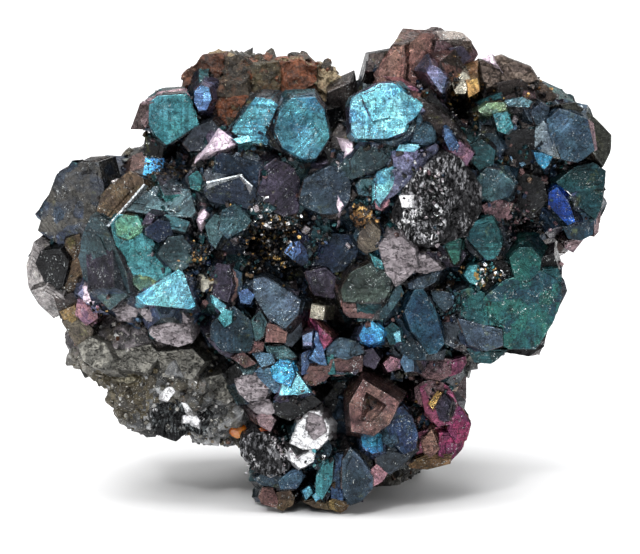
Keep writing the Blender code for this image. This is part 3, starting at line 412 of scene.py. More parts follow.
    ("plate", "sea_green", 9.0, 4, -4, (165, 197, 166, 215, 186, 232, 222, 241, 238, 232, 242, 217, 234, 193,
     217, 165, 190, 165, 172, 179), 84),
    ("plate_round", "sea_green", 9.3, 0, 4, (191, 254, 200, 264, 212, 264, 221, 253, 219, 242, 208, 232, 196,
     237)),
    ("plate_left", "teal", 9.1, -6, 2, (136, 219, 150, 224, 165, 219, 169, 189, 156, 188, 142, 199)),
    ("plate_left_low", "steel_slate", 9.2, -4, -6, (140, 194, 182, 183, 183, 168, 167, 163, 150, 169)),
    ("plate_step", "sea_green", 9.3, 2, 0, (170, 213, 187, 225, 204, 211, 194, 195, 180, 187, 170, 195)),
    ("plate_low", "deep_teal", 8.2, 0, -16, (149, 164, 188, 163, 179, 154, 172, 150, 157, 151), 84),
    ("plate_side", "slate", 8.2, 30, -4, (225, 183, 228, 221, 245, 233, 248, 221, 232, 189), 84),
    ("plate_top", "teal", 8.7, 8, 6, (220, 242, 238, 244, 242, 232, 228, 227), 84),
    ("plate_notch", "black", 7.9, 0, 0, (222, 255, 234, 258, 239, 244, 222, 243), 84),
    ("blue_step", "steel_slate", 8.9, -10, 6, (113, 222, 129, 220, 135, 210, 125, 202, 116, 212)),
    ("slate_arm", "steel_slate", 9.3, -8, 16, (90, 230, 106, 240, 123, 244, 115, 231, 101, 223, 91, 225)),
    ("prism", "deep_sea", 9.8, 10, 4, (87, 201, 96, 222, 105, 223, 116, 203, 125, 171, 118, 161, 110, 160, 94,
     182)),
    ("prism_dark", "navy_teal", 8.9, -22, 0, (71, 191, 82, 202, 107, 160, 106, 154, 94, 154, 82, 162, 74,
     173)),
    ("banded", "green_slate", 10.2, -4, 16, (24, 224, 34, 240, 56, 251, 72, 233, 70, 222, 63, 211, 26, 212),
     79),
    ("banded_right", "steel_teal", 9.9, 30, 2, (62, 195, 63, 211, 71, 226, 81, 229, 85, 219, 68, 196)),
    ("banded_low", "bronze", 10.0, -2, -16, (25, 211, 62, 210, 62, 194, 32, 196, 26, 202)),
    ("green_fleck", "turquoise", 10.0, 0, 10, (52, 258, 62, 252, 65, 244, 57, 247)),
    ("lead_face", "lead_plain", 10.4, -6, -6, (61, 266, 70, 277, 83, 274, 95, 263, 98, 246, 87, 235, 77, 228,
     67, 242)),
    ("lead_face_right", "lead_plain", 9.8, 8, -10, (97, 255, 107, 257, 115, 251, 123, 244, 108, 240, 98,
     241)),
    ("lead_face_left", "olive_grey", 9.5, -12, -2, (40, 267, 42, 280, 52, 291, 61, 281, 61, 265, 48, 260)),
    ("etched_white", "silver", 10.2, 0, 4, (102, 290, 119, 296, 120, 278, 110, 272, 102, 277)),
    ("etched_white_left", "silver", 10.1, -14, 8, (81, 316, 93, 316, 92, 306, 84, 306)),
    ("bronze_spur", "gold", 9.4, -4, 4, (34, 297, 42, 305, 53, 301, 50, 291, 40, 288)),
    ("left_rim_low", "pale_grey", 2.3, -42, -12, (-292, 247, -285, 270, -277, 261, -270, 225, -288, 221, -291,
     228), 84),
    ("left_rim_foot", "pale_grey", 2.3, -30, -35, (-288, 221, -272, 226, -256, 217, -252, 205, -266, 195,
     -280, 209), 84),
    ("left_low_face", "black", 3.7, -20, -8, (-282, 249, -277, 261, -258, 263, -250, 251, -256, 227, -266,
     223, -274, 233), 79),
    ("left_low_brown", "olive", 3.6, -5, -5, (-252, 273, -238, 278, -234, 251, -234, 223, -248, 213, -258,
     223, -255, 251), 80),
    ("big_left_flank", "slate_teal", 8.7, -40, -4, (-226, 296, -211, 287, -204, 270, -192, 241, -188, 221,
     -196, 213, -208, 204, -221, 218, -234, 238, -238, 255, -234, 277), 80),
    ("big_left_brown", "olive", 7.4, -30, 30, (-206, 327, -188, 341, -175, 334, -174, 327, -209, 287, -221,
     296, -215, 318), 78),
    ("big_left_top", "slate_teal", 8.5, 0, 40, (-174, 327, -128, 323, -122, 302, -129, 292, -153, 297, -200,
     296), 76),
    ("big_left_edge", "silver_line", 8.8, -20, 30, (-209, 288, -174, 328, -172, 327, -207, 286), 84),
    ("crown", "cyan", 10.1, -3, 16, (33, 405, 38, 415, 60, 426, 74, 427, 86, 416, 87, 389, 83, 374, 68, 374,
     46, 365, 34, 381), 80),
    ("crown_chip", "cyan_pale", 10.25, 2, 18, (44, 415, 62, 421, 74, 413, 70, 395, 54, 391), 84),
    ("crown_right", "cyan", 9.9, 12, 16, (82, 419, 94, 412, 103, 405, 96, 395, 86, 387), 80),
    ("silver_flash", "silver", 9.3, 0, 12, (-19, 89, -8, 100, 1, 100, 10, 87, 9, 75, 0, 66, -14, 65, -26, 71),
     78),
    ("silver_flash_low", "silver", 9.1, 0, 8, (-27, 65, -15, 66, -3, 64, -5, 52, -18, 46, -26, 54), 78),
    ("etched_left", "etched", 10.1, -8, 4, (74, 298, 80, 317, 97, 337, 114, 353, 128, 353, 130, 277, 108, 267,
     84, 273), 78),
    ("etched_right", "etched", 9.8, 10, 4, (128, 353, 140, 355, 152, 337, 161, 325, 161, 301, 148, 279, 128,
     271), 78),
    ("picture_frame", "bronze_red", 11.1, 2, 4, (32, 109, 45, 133, 81, 111, 70, 90, 55, 79, 34, 83), 78),
    ("blue_ledge_low", "cyan", 10.1, 4, 12, (82, 367, 100, 365, 94, 360, 78, 361), 82),
    ("cyan_dagger", "cyan", 10.2, -2, 14, (58, 337, 74, 345, 80, 337, 70, 321, 62, 309, 58, 315), 82),
    ("violet_nub_face", "pearl", 6.4, -20, 0, (-234, 226, -227, 226, -220, 216, -226, 210, -233, 213), 80),
    ("rose_nub_face", "rose", 5.2, -20, -10, (-240, 213, -223, 210, -221, 195, -232, 188, -242, 198), 80),
    ("gold_nub_face", "olive_gold", 4.2, -35, -10, (-258, 201, -244, 207, -240, 195, -252, 187), 80),
    ("left_foot_face", "umber", 3.4, -20, -12, (-264, 215, -246, 219, -236, 207, -242, 191, -258, 195), 82),
    ("left_foot_low", "olive_grey", 4.2, -20, -10, (-256, 191, -238, 195, -226, 183, -228, 165, -242, 167),
     82),
    ("lead_tri", "lead", 8.6, -10, -20, (-206, 204, -196, 219, -186, 221, -177, 207, -182, 197, -196, 198),
     80),
    ("dark_cleft", "umber", 3.0, 0, 0, (10, 419, 32, 429, 38, 383, 22, 367, 12, 385), 82),
    # Painted highlight on the big face: a brighter teal-green patch
    ("big_left_gold", "sun_teal", 9.88, -2, 12, (-200, 291, -192, 297, -179, 295, -174, 283, -188, 274, -199,
     278), 82),
    ("plum_rocks_left", "rough_brown", 3.1, -14, 20, (164, 443, 174, 453, 182, 447, 179, 431, 168, 425), 82),
    ("plum_rocks_low", "umber", 3.4, 10, 4, (179, 429, 202, 433, 214, 421, 200, 415, 182, 416), 82),
    ("gold_face", "cream", 5.0, -10, 6, (134, 429, 144, 439, 152, 431, 146, 419, 137, 419), 82),
    ("gold_face_low", "gold", 5.3, 8, -4, (148, 429, 158, 433, 160, 421, 150, 415), 82),
    ("magenta_foot", "plum_red", 3.9, 0, -6, (94, 77, 122, 85, 138, 75, 134, 53, 102, 51), 82),
    ("magenta_foot_right", "magenta", 4.2, 16, -8, (122, 79, 148, 79, 144, 63, 134, 52, 122, 57), 84),
    ("silver_core", "lead", 9.5, 0, 12, (-8, 99, 4, 95, 7, 83, -4, 75, -11, 85), 70),
    ("silver_nick", "black", 9.4, 0, 12, (-26, 67, -16, 70, -12, 63, -20, 59), 70),
    ("right_low", "rose_grey", 4.6, 16, -20, (247, 271, 266, 275, 255, 261, 247, 265), 84),
)

GALENA = (
    Crystal("lead_wedge", "lead", -19.2, 20.9, 7.0, 1.9, TRI, -20, -10, 0),
    Crystal("violet_nub", "lavender", -22.7, 21.7, 5.6, 1.3, DIAMOND, -20, 5, 0),
    Crystal("bronze_nub", "bronze", -23.1, 20.0, 4.6, 1.5, BLOCK, -20, 0, 20),
    Crystal("dark_corner", "black", -16.4, 36.3, 4.0, 1.4, BLOCK, -20, 0, 10),
    Crystal("blue_ledge", "azure", -16.4, 34.6, 4.8, 1.3, BLOCK, -10, 40, 0),
    Crystal("dark_ridge", "black", -15.4, 33.4, 5.8, 1.9, HEX, 0, 50, 0),
    Crystal("step_teal", "teal", -13.4, 30.7, 7.8, 2.0, TRI, 20, 5, 0),
    Crystal("sea_side", "black", 1.5, 38.7, 5.6, 2.3, BLOCK, 50, 5, 0),
    Crystal("plum_rocks_back", "black", 20.3, 42.2, 0.6, 1.9, EIGHT, 15, 15, 10),
    Crystal("dark_wall", "black", 20.3, 36.4, 6.0, 2.4, BLOCK, 5, 0, 0),
    Crystal("dark_middle", "black", 20.8, 31.7, 6.0, 2.3, HEX, 0, 5, 15),
    Crystal("plate_lip", "deep_teal", 17.0, 16.6, 7.0, 1.3, HEX, 0, -20, 0),
    Crystal("plate_rim", "slate", 13.8, 18.2, 8.2, 1.8, HEX, -10, -10, 30),
    Crystal("cream_cube", "cream", -0.1, 20.1, 10.2, 0.95, BLOCK, -15, 12, 5),
    Crystal("plum_middle", "plum", 11.2, 12.0, 4.8, 1.6, HEX, 0, 0, 25),
)

SPHALERITE = (
    Crystal("honey_a", "resin_red", -9.6, 43.0, 1.0, 2.1, TRI, -10, 20, 10),
    Crystal("honey_b", "resin_olive", -12.2, 42.2, 0.0, 1.6, HEX, -30, 10, 30),
    Crystal("honey_c", "resin_dark", -5.4, 42.6, 2.0, 1.9, HEX, 5, 15, 0),
    Crystal("honey_d", "resin_orange", -1.9, 42.7, 1.8, 1.8, TRI, 10, 15, 40),
    Crystal("honey_e", "resin_pale", 1.2, 42.4, 0.6, 1.4, HEX, 20, 15, 20),
    Crystal("honey_f", "resin_red", -8.8, 40.4, 4.0, 2.0, TRI, -5, 10, 60),
    Crystal("honey_g", "resin_olive", -10.2, 44.2, -3.0, 1.9, HEX, -20, 60, 0),
    Crystal("honey_h", "resin_dark", -5.0, 43.6, -3.5, 2.0, TRI, 10, 70, 30),
    Crystal("honey_i", "resin_orange", -0.6, 43.0, -4.0, 1.8, HEX, 30, 60, 10),
    Crystal("honey_j", "resin_red", -8.0, 42.0, -6.4, 2.2, TRI, 190, 15, 10),
    Crystal("honey_k", "resin_olive", -3.0, 41.6, -6.6, 2.0, HEX, 165, 15, 40),
)

# Plates of the ore rock and crystals of the sphalerite
ROCK_FACETS = facets(
    ("white_chip", "silver", 0.25, 10, 10, (-155, 115, -152, 123, -146, 127, -144, 121, -150, 113), 80),
    ("white_streak", "silver", 0.2, 10, 15, (-135, 109, -131, 109, -119, 93, -120, 88, -124, 90), 80),
    ("white_bit", "silver", 0.25, 0, 10, (-134, 97, -128, 96, -129, 91, -134, 91), 80),
    ("streaky_lump_a", "streaky_rock", 0.2, 0, -8, (-168, 101, -150, 111, -133, 103, -128, 83, -143, 72, -163,
     79), 76),
    ("streaky_lump_b", "streaky_rock", 0.2, 8, -6, (-142, 113, -118, 111, -104, 97, -110, 77, -126, 81), 76),
    ("grey_plate_a", "grey_rock", 0.2, -12, 12, (-210, 161, -168, 168, -160, 157, -172, 141, -200, 145), 76),
    ("grey_plate_b", "grey_rock", 0.2, 0, 8, (-160, 161, -126, 163, -114, 151, -126, 135, -154, 137), 76),
    ("beige_plate", "beige_rock", 0.2, -12, 18, (-206, 147, -172, 147, -168, 137, -190, 131, -206, 135), 76),
    ("grey_knob", "grey_rock", 0.25, -25, 12, (-240, 167, -228, 175, -214, 169, -206, 155, -210, 145, -222,
     145, -234, 153), 76),
    ("speckled_plate", "grey_rock", 0.2, 5, 0, (-118, 133, -96, 137, -82, 121, -90, 105, -112, 109), 76),
)

SPHALERITE_FACETS = facets(
    ("resin_left", "resin_red", 1.2, -12, 14, (-135, 425, -136, 438, -115, 457, -96, 459, -95, 447, -100, 431,
     -118, 425), 84),
    ("resin_left_top", "resin_pale", -0.6, 0, 55, (-115, 458, -100, 464, -80, 458, -95, 453), 84),
    ("resin_green", "resin_olive", 2.0, 0, 10, (-71, 447, -38, 450, -37, 430, -43, 415, -68, 415), 80),
    ("resin_middle", "resin_dark", 1.4, -10, 25, (-96, 455, -78, 458, -64, 450, -70, 433, -94, 429), 84),
    ("resin_orange", "resin_orange", 2.4, 10, 14, (-36, 450, -18, 453, -2, 445, -2, 431, -18, 420, -33, 421),
     84),
    ("resin_patch", "resin_orange", 4.3, -5, 8, (-105, 414, -70, 416, -68, 401, -77, 383, -86, 380, -98, 391),
     80),
    ("resin_dark_low", "resin_dark", 4.0, 5, 5, (-96, 429, -71, 433, -68, 416, -104, 414), 80),
    ("resin_rim_left", "resin_pale", 1.6, 10, 40, (-36, 455, -18, 455, 0, 446, -18, 449), 84),
    ("resin_rim_right", "resin_pale", 0.8, 20, 30, (-2, 445, 17, 440, 28, 433, 32, 421, 12, 417, 0, 427), 84),
)

GALENA_LUMPS = (
    Lump(-15.5, 27.5, -3.5, 9.5, 10.5, 8.2),
    Lump(0.0, 27.0, -4.0, 12.0, 10.8, 14.0),
    Lump(15.5, 28.5, -4.0, 9.6, 11.0, 10.0),
    Lump(1.2, 11.0, -3.0, 7.2, 9.5, 10.0),
    Lump(11.2, 10.0, -2.0, 3.0, 5.0, 4.4),
    Lump(10.5, 41.5, -4.5, 6.0, 6.5, 4.8),
    Lump(21.5, 37.5, -3.5, 5.6, 7.0, 4.2),
    Lump(-7.5, 37.5, -4.0, 8.0, 9.0, 5.0),
)
ROCK_LUMPS = (
    Lump(-14.8, 13.6, -0.5, 7.2, 8.0, 6.4),
    Lump(-21.0, 17.2, -0.5, 4.4, 6.5, 4.9),
    Lump(-9.6, 11.2, -1.0, 5.4, 7.5, 4.9),
    Lump(-18.0, 17.5, 0.6, 4.6, 6.0, 3.6),
    Lump(-8.0, 18.5, -12.0, 12.5, 7.5, 10.5),
    Lump(9.0, 23.5, -13.0, 13.0, 7.5, 12.5),
    Lump(3.0, 8.0, -10.5, 8.8, 7.6, 9.4),
    Lump(-13.0, 30.5, -10.5, 9.5, 6.5, 8.0),
    Lump(0.5, 32.0, -11.5, 9.0, 5.5, 7.5),
    Lump(-8.5, 37.5, -9.5, 8.5, 6.5, 6.0),
    Lump(-5.5, 42.0, -8.0, 8.4, 5.6, 3.8),
    Lump(15.5, 33.5, -10.5, 7.5, 6.0, 5.5),
    Lump(-2.5, 12.0, -15.5, 6.5, 5.0, 6.5),
    Lump(9.0, 15.5, -14.5, 6.0, 5.0, 6.5),
)
SPHALERITE_LUMPS = (Lump(-5.6, 42.2, -2.2, 7.0, 4.2, 2.8),)

SEED = 2718
HIDDEN_SPACING = 5.0
HIDDEN_FROM = -0.02
HIDDEN_REACH = (1.6, 3.2)
HIDDEN_HABITS = (HEX, HEX, EIGHT, BLOCK, TRI)
HIDDEN_PROUD = 0.3
HIDDEN_LEAN = 20.0
HIDDEN_LOOKS = (
    "teal", "deep_teal", "slate", "navy", "plum", "black", "steel", "umber", "bronze", "sea_green",
)
CLEAR_OF_GALENA = 0.3
CLEAR_OF_ROCK = 0.6
CLEAR_OF_SPHALERITE = 1.5
BOX_REACHES = 12.0
CUT_TOLERANCE = 1e-5
MERGE_REACH = 1e-4
MAIN_FACE = 0.999
BACK_FACE = -0.3
ROOT_DEPTH = 3.4
FACE_JITTER = 0.09
GOLDEN_ANGLE = math.pi * (3.0 - math.sqrt(5.0))

# Kinds of face, and how the faces are dressed, with painted highlight on bevelled edges and painted shade on
# flanks and hollows
OCTAHEDRAL, CUBE, EDGE, HOLLOW = 1, 2, 3, 4
# Painted highlight: the bevelled edges are painted part of the way to a pale steel, as if they caught the
# light
EDGE_HIGHLIGHT_COLOUR = (196, 200, 206)
EDGE_HIGHLIGHT_SHARE = 0.24
CUBE_BLEND = 0.5
# Painted shade: faces that turn away from the viewer are painted darker, down to this share when side-on
FLANK_PAINTED_SHADE = 0.66
# Painted shade: the floor of a stepped hollow is painted much darker
HOLLOW_PAINTED_SHADE = 0.25
GROWTH_AXES = ((1.0, 0.0, 0.0), (0.0, 0.0, 1.0), (0.7, 0.0, 0.7), (-0.7, 0.0, 0.7))
# Painted light: each face but the main one is painted lighter or darker at random, as if it caught more or
# less light
FACE_PAINTED_LIGHT = (0.72, 1.12)
BEVEL_SHARE = 0.018
BEVEL_RANGE = (0.03, 0.07)
TERRACE_REACH = 1.25
TERRACES_UP_TO = 0.6
LINES_LEAST = 0.1
SHOWN_DEPTH = 1.2
FRONT_EDGE = 0.74
SIDE_EDGE = 0.80
ROUGH_EDGE = 0.26
REFINE_ROUNDS = 9
GALENA_GROUPS = ("front_0", "front_1", "front_2", "front_3", "sides", "etched", "cracked", "bright")
GROUP_ENDS = (-9.0, 2.0, 12.0)
BATCH_FACES = 1500
TERRACE_COUNT = (2, 5)
TERRACE_PLACE = (0.1, 0.8)
TERRACE_SIZE = (0.30, 0.78)
TERRACE_HEIGHT = (0.03, 0.11)
TERRACE_SINK = 0.15
VIEW_RAY = Vector((0.0, math.cos(VIEW_TILT), -math.sin(VIEW_TILT)))
UPWARD = Vector((0.0, 0.0, 1.0))
FACET_BLOCK = 40.0
FACET_DEPTH = 3.4
FACET_GROWTH = 0.14
FLANK_JITTER = 5.0
FLANK_LIMIT = 86.0
CUBE_FLANKS = 0.45
HOPPER_STEPS = (0.6, 0.2, 0.2)
HOPPERS = {"picture_frame": (0.64, 1.3), "plate_step": (0.3, 0.3)}


def linear(colour):
    """An sRGB colour out of 255 as linear light."""
    parts = [value / 255.0 for value in colour]
    return [part / 12.92 if part <= 0.04045 else ((part + 0.055) / 1.055) ** 2.4 for part in parts]


def blend(first, second, share):
    """A colour between two others."""
    return tuple(a + (b - a) * share for a, b in zip(first, second))


def place(across, up, out):
    """The point in millimetres that is seen at (across, up) and stands out towards the viewer."""
    height = (up + out * math.sin(VIEW_TILT)) / math.cos(VIEW_TILT) - FOOT_HEIGHT
    return Vector((across - MIDDLE_ACROSS, MIDDLE_OUT - out, height))


def seen_at(point):
    """The across, up and out of a point: place() the other way round."""
    out = MIDDLE_OUT - point.y
    up = (point.z + FOOT_HEIGHT) * math.cos(VIEW_TILT) - out * math.sin(VIEW_TILT)
    return point.x + MIDDLE_ACROSS, up, out


def main_face_radius(habit):
    """The radius of the main face of a crystal whose cube faces are 1 from its centre."""
    reach = habit.octahedron
    if not habit.cube_looks_out:
        third = reach / 3.0
        return math.hypot(1.0 - third, reach - 1.0 - third, third)
    if reach < 2.0:
        return reach - 1.0
    return math.hypot(1.0, reach - 2.0)


def facing(crystal):
    """The turn that brings the crystal's main face to where it looks."""
    turn = Matrix.Rotation(math.radians(crystal.yaw), 3, "Z")
    turn = turn @ Matrix.Rotation(-math.radians(crystal.pitch), 3, "X")
    turn = turn @ Matrix.Rotation(math.radians(crystal.roll), 3, "Y")
    if crystal.habit.cube_looks_out:
        return turn
    look = Vector((1.0, 1.0, 1.0)).normalized()
    upward = (UPWARD - look * look.z).normalized()
    sideways = upward.cross(look)
    return turn @ Matrix((sideways, -look, upward))


def face_directions(crystal):
    """Each face's direction in the crystal's own axes, its distance for cube faces at 1, and its kind."""
    faces = []
    for axis in range(3):
        for sign in (-1.0, 1.0):
            direction = Vector((0.0, 0.0, 0.0))
            direction[axis] = sign
            faces.append((direction, 1.0, CUBE))
    for x in (-1.0, 1.0):
        for y in (-1.0, 1.0):
            for z in (-1.0, 1.0):
                distance = crystal.habit.octahedron / math.sqrt(3.0)
                faces.append((Vector((x, y, z)).normalized(), distance, OCTAHEDRAL))
    return faces


def as_mesh(solid, name):
    """A bmesh made a mesh, and freed."""
    mesh = bpy.data.meshes.new(name)
    solid.to_mesh(mesh)
    solid.free()
    return mesh


def film_layers(solid):
    """New layers for a face's two tarnish colours."""
    return solid.faces.layers.float_color.new("film"), solid.faces.layers.float_color.new("film_b")


def give_colours(face, layers, first, second):
    """Write a face's two colours, in linear light."""
    face[layers[0]] = (*first, 1.0)
    face[layers[1]] = (*second, 1.0)


def times(colour, share):
    """A colour made darker or lighter."""
    return [value * share for value in colour]


def cut_face(solid, normal, distance, kind, kinds):
    """Cut the solid flat at a distance along the normal and close it with a face of that kind."""
    geometry = solid.verts[:] + solid.edges[:] + solid.faces[:]
    result = bmesh.ops.bisect_plane(
        solid, geom=geometry, dist=CUT_TOLERANCE, plane_co=normal * distance, plane_no=normal,
        clear_outer=True,
    )
    rim = [item for item in result["geom_cut"] if isinstance(item, bmesh.types.BMEdge)]
    if len(rim) > 2:
        for face in bmesh.ops.contextual_create(solid, geom=rim)["faces"]:
            face[kinds] = kind


def crystal_solid(crystal):
    """One crystal in millimetres, in place, with each face's kind on its faces."""
    chance = random.Random(crystal.name)
    half = crystal.reach / main_face_radius(crystal.habit)
    turn = facing(crystal)
    look = facing(crystal._replace(habit=BLOCK)) @ Vector((0.0, -1.0, 0.0))
    length_axis = facing(crystal._replace(habit=BLOCK)) @ Vector((0.0, 0.0, 1.0))
    solid = bmesh.new()
    kinds = solid.faces.layers.int.new("kind")
    bmesh.ops.create_cube(solid, size=crystal.reach * BOX_REACHES)
    depth = 0.0
    for direction, distance, kind in face_directions(crystal):
        normal = (turn @ direction).normalized()
        towards = normal.dot(look)
        along = normal.dot(length_axis)
        sideways = max(0.0, 1.0 - towards**2 - along**2)
        stretch = math.sqrt((crystal.thick * towards) ** 2 + (crystal.long * along) ** 2 + sideways)
        reach = half * distance * stretch
        if towards > MAIN_FACE:
            depth = reach
        else:
            reach *= 1.0 + chance.uniform(-FACE_JITTER, FACE_JITTER)
        if towards < BACK_FACE:
            reach = max(reach, ROOT_DEPTH)
        cut_face(solid, normal, reach, kind, kinds)
    middle = place(crystal.across, crystal.up, crystal.out) - look * depth
    bmesh.ops.translate(solid, verts=solid.verts, vec=middle)
    bmesh.ops.recalc_face_normals(solid, faces=solid.faces)
    return solid, look


def facet_corners(facet):
    """The corners of a facet's outline as pairs of across and up."""
    return list(zip(facet.outline[::2], facet.outline[1::2]))


def facet_crystal(facet):
    """The crystal that stands for a facet where its place, reach and turn are asked for."""
    corners = facet_corners(facet)
    across = sum(corner[0] for corner in corners) / len(corners)
    up = sum(corner[1] for corner in corners) / len(corners)
    reach = max(math.dist((across, up), corner) for corner in corners)
    return Crystal(facet.name, facet.look, across, up, facet.out, reach, HEX, facet.yaw, facet.pitch)


def facet_solid(facet):
    """The crystal behind a facet: a block cut by the face, by a flank along each side, and at its root."""
    chance = random.Random(facet.name)
    crystal = facet_crystal(facet)
    look = facing(crystal._replace(habit=BLOCK)) @ Vector((0.0, -1.0, 0.0))
    middle = place(crystal.across, crystal.up, crystal.out)
    corners = []
    for across, up in facet_corners(facet):
        away = Vector((across - crystal.across, up - crystal.up)).normalized() * FACET_GROWTH
        start = place(across + away.x, up + away.y, 0.0)
        corners.append(start + VIEW_RAY * (middle - start).dot(look) / VIEW_RAY.dot(look))
    solid = bmesh.new()
    kinds = solid.faces.layers.int.new("kind")
    bmesh.ops.create_cube(solid, size=FACET_BLOCK, matrix=Matrix.Translation(middle))
    cut_face(solid, look, middle.dot(look), OCTAHEDRAL, kinds)
    for first, second in zip(corners, corners[1:] + corners[:1]):
        outward = (second - first).cross(look).normalized()
        if outward.dot(first - middle) < 0.0:
            outward.negate()
        flank = min(facet.flank + chance.uniform(-FLANK_JITTER, FLANK_JITTER), FLANK_LIMIT)
        normal = look * math.cos(math.radians(flank)) + outward * math.sin(math.radians(flank))
        kind = CUBE if chance.random() < CUBE_FLANKS else OCTAHEDRAL
        cut_face(solid, normal, first.dot(normal), kind, kinds)
    cut_face(solid, -look, FACET_DEPTH - middle.dot(look), OCTAHEDRAL, kinds)
    bmesh.ops.recalc_face_normals(solid, faces=solid.faces)
    return solid, crystal, look


def trim_to_box(solid, kinds):
    """Cut off what would stand out of the solids' box."""
    lowest, highest = (Vector(corner) / MM for corner in cad_box)
    for axis in range(3):
        normal = Vector((0.0, 0.0, 0.0))
        normal[axis] = 1.0
        if max(vert.co[axis] for vert in solid.verts) > highest[axis]:
            cut_face(solid, normal, highest[axis], EDGE, kinds)
        if min(vert.co[axis] for vert in solid.verts) < lowest[axis]:
            cut_face(solid, -normal, -lowest[axis], EDGE, kinds)


def spiral_directions(count):
    """Directions spread evenly over a sphere by the golden angle."""
    directions = []
    for index in range(count):
        rise = 1.0 - 2.0 * (index + 0.5) / count
        around = GOLDEN_ANGLE * index
        level = math.sqrt(1.0 - rise * rise)
        directions.append(Vector((level * math.cos(around), level * math.sin(around), rise)))
    return directions


def inside_lump(point, lumps, margin):
    """Whether a point lies inside one of the masses, made larger by the margin."""
    for lump in lumps:
        offset = point - place(lump.across, lump.up, lump.out)
        scaled = Vector(
            (
                offset.x / (lump.half_across + margin),
                offset.y / (lump.half_deep + margin),
                offset.z / (lump.half_up + margin),
            )
        )
        if scaled.length < 1.0:
            return True
    return False


def hidden_crystals():
    """Crystals over the sides, the back and the underside of the galena, spread by the golden angle."""
    chance = random.Random(SEED)
    tint = random.Random(SEED + 1)
    crystals = []
    for number, lump in enumerate(GALENA_LUMPS):
        half = Vector((lump.half_across, lump.half_deep, lump.half_up))
        mean = (half.x + half.y + half.z) / 3.0
        count = int(4.0 * math.pi * mean**2 / HIDDEN_SPACING**2)
        for index, direction in enumerate(spiral_directions(count)):
            reach = chance.uniform(*HIDDEN_REACH)
            habit = chance.choice(HIDDEN_HABITS)
            roll = chance.uniform(0.0, 90.0)
            lean_yaw = chance.uniform(-HIDDEN_LEAN, HIDDEN_LEAN)
            lean_pitch = chance.uniform(-HIDDEN_LEAN, HIDDEN_LEAN)
            outward = Vector((direction.x / half.x, direction.y / half.y, direction.z / half.z)).normalized()
            if outward.y < HIDDEN_FROM:
                continue
            point = place(lump.across, lump.up, lump.out) + direction * half + outward * HIDDEN_PROUD * reach
            others = GALENA_LUMPS[:number] + GALENA_LUMPS[number + 1 :]
            if inside_lump(point, others, CLEAR_OF_GALENA):
                continue
            if inside_lump(point, ROCK_LUMPS, CLEAR_OF_ROCK * reach):
                continue
            if inside_lump(point, SPHALERITE_LUMPS, CLEAR_OF_SPHALERITE):
                continue
            yaw = math.degrees(math.atan2(outward.x, -outward.y)) + lean_yaw
            pitch = math.degrees(math.asin(outward.z)) + lean_pitch
            name = f"hidden_{number}_{index}"
            look = tint.choice(HIDDEN_LOOKS)
            crystals.append(Crystal(name, look, *seen_at(point), reach, habit, yaw, pitch, roll))
    return crystals


def as_piece(solid, name, material, smooth=False):
    """Make a bmesh in millimetres a piece in metres, with faces outward, on the root body."""
    for vert in solid.verts:
        vert.co.z = max(vert.co.z, 0.0)
    bmesh.ops.scale(solid, vec=(MM, MM, MM), verts=solid.verts)
    bmesh.ops.recalc_face_normals(solid, faces=solid.faces)
    mesh = as_mesh(solid, name)
    mesh.materials.append(material)
    if smooth:
        mesh.shade_smooth()
    piece = bpy.data.objects.new(name, mesh)
    bpy.context.scene.collection.objects.link(piece)
    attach(piece, "root")
    return piece


def add_solid(target, solid):
    """Add a bmesh to a larger one and free it."""
    carrier = as_mesh(solid, "carrier")
    target.from_mesh(carrier)
    bpy.data.meshes.remove(carrier)


def new_target():
    """An empty bmesh with the layers that the crystals' faces carry."""
    target = bmesh.new()
    target.faces.layers.int.new("kind")
    target.faces.layers.float_color.new("film")
    target.faces.layers.float_color.new("film_b")
    target.faces.layers.float_vector.new("grain")
    return target


class Pile:
    """Many small crystals, gathered a batch at a time."""

    def __init__(self):
        self.batch = new_target()
        self.full = []

    def close_batch(self):
        """Put the batch away as a mesh."""
        self.full.append(as_mesh(self.batch, "batch"))
        self.batch = new_target()

    def add(self, shape, point, reach, turn, first, second):
        """Add a small crystal with its two colours."""
        if len(self.batch.faces) > BATCH_FACES:
            self.close_batch()
        verts_before, faces_before = len(self.batch.verts), len(self.batch.faces)
        self.batch.from_mesh(shape)
        self.batch.verts.ensure_lookup_table()
        self.batch.faces.ensure_lookup_table()
        move = Matrix.Translation(point) @ turn.to_4x4() @ Matrix.Scale(reach, 4)
        bmesh.ops.transform(self.batch, matrix=move, verts=self.batch.verts[verts_before:])
        colours = self.batch.faces.layers.float_color
        for face in self.batch.faces[faces_before:]:
            give_colours(face, (colours["film"], colours["film_b"]), first, second)

    def whole(self):
        """All the batches as one bmesh."""
        self.close_batch()
        for mesh in self.full:
            self.batch.from_mesh(mesh)
            bpy.data.meshes.remove(mesh)
        return self.batch


def add_terraces(solid, faces, kinds, chance):
    """Growth steps: low plates with the face's own outline, sunk into the face."""
    for face in faces:
        corners = [vert.co.copy() for vert in face.verts]
        middle = face.calc_center_median()
        normal = face.normal.copy()
        for _ in range(chance.randint(*TERRACE_COUNT)):
            anchor = middle.lerp(chance.choice(corners), chance.uniform(*TERRACE_PLACE))
            size = chance.uniform(*TERRACE_SIZE)
            height = chance.uniform(*TERRACE_HEIGHT)
            copied = bmesh.ops.duplicate(solid, geom=[face])["geom"]
            plate = [item for item in copied if isinstance(item, bmesh.types.BMFace)]
            points = [item for item in copied if isinstance(item, bmesh.types.BMVert)]
            bmesh.ops.scale(solid, vec=(size, size, size), verts=points, space=Matrix.Translation(-anchor))
            bmesh.ops.translate(solid, verts=points, vec=-normal * TERRACE_SINK)
            raised = bmesh.ops.extrude_face_region(solid, geom=plate)["geom"]
            top = [item for item in raised if isinstance(item, bmesh.types.BMVert)]
            bmesh.ops.translate(solid, verts=top, vec=normal * (TERRACE_SINK + height))
            for item in raised:
                if isinstance(item, bmesh.types.BMFace):
                    item[kinds] = face[kinds]


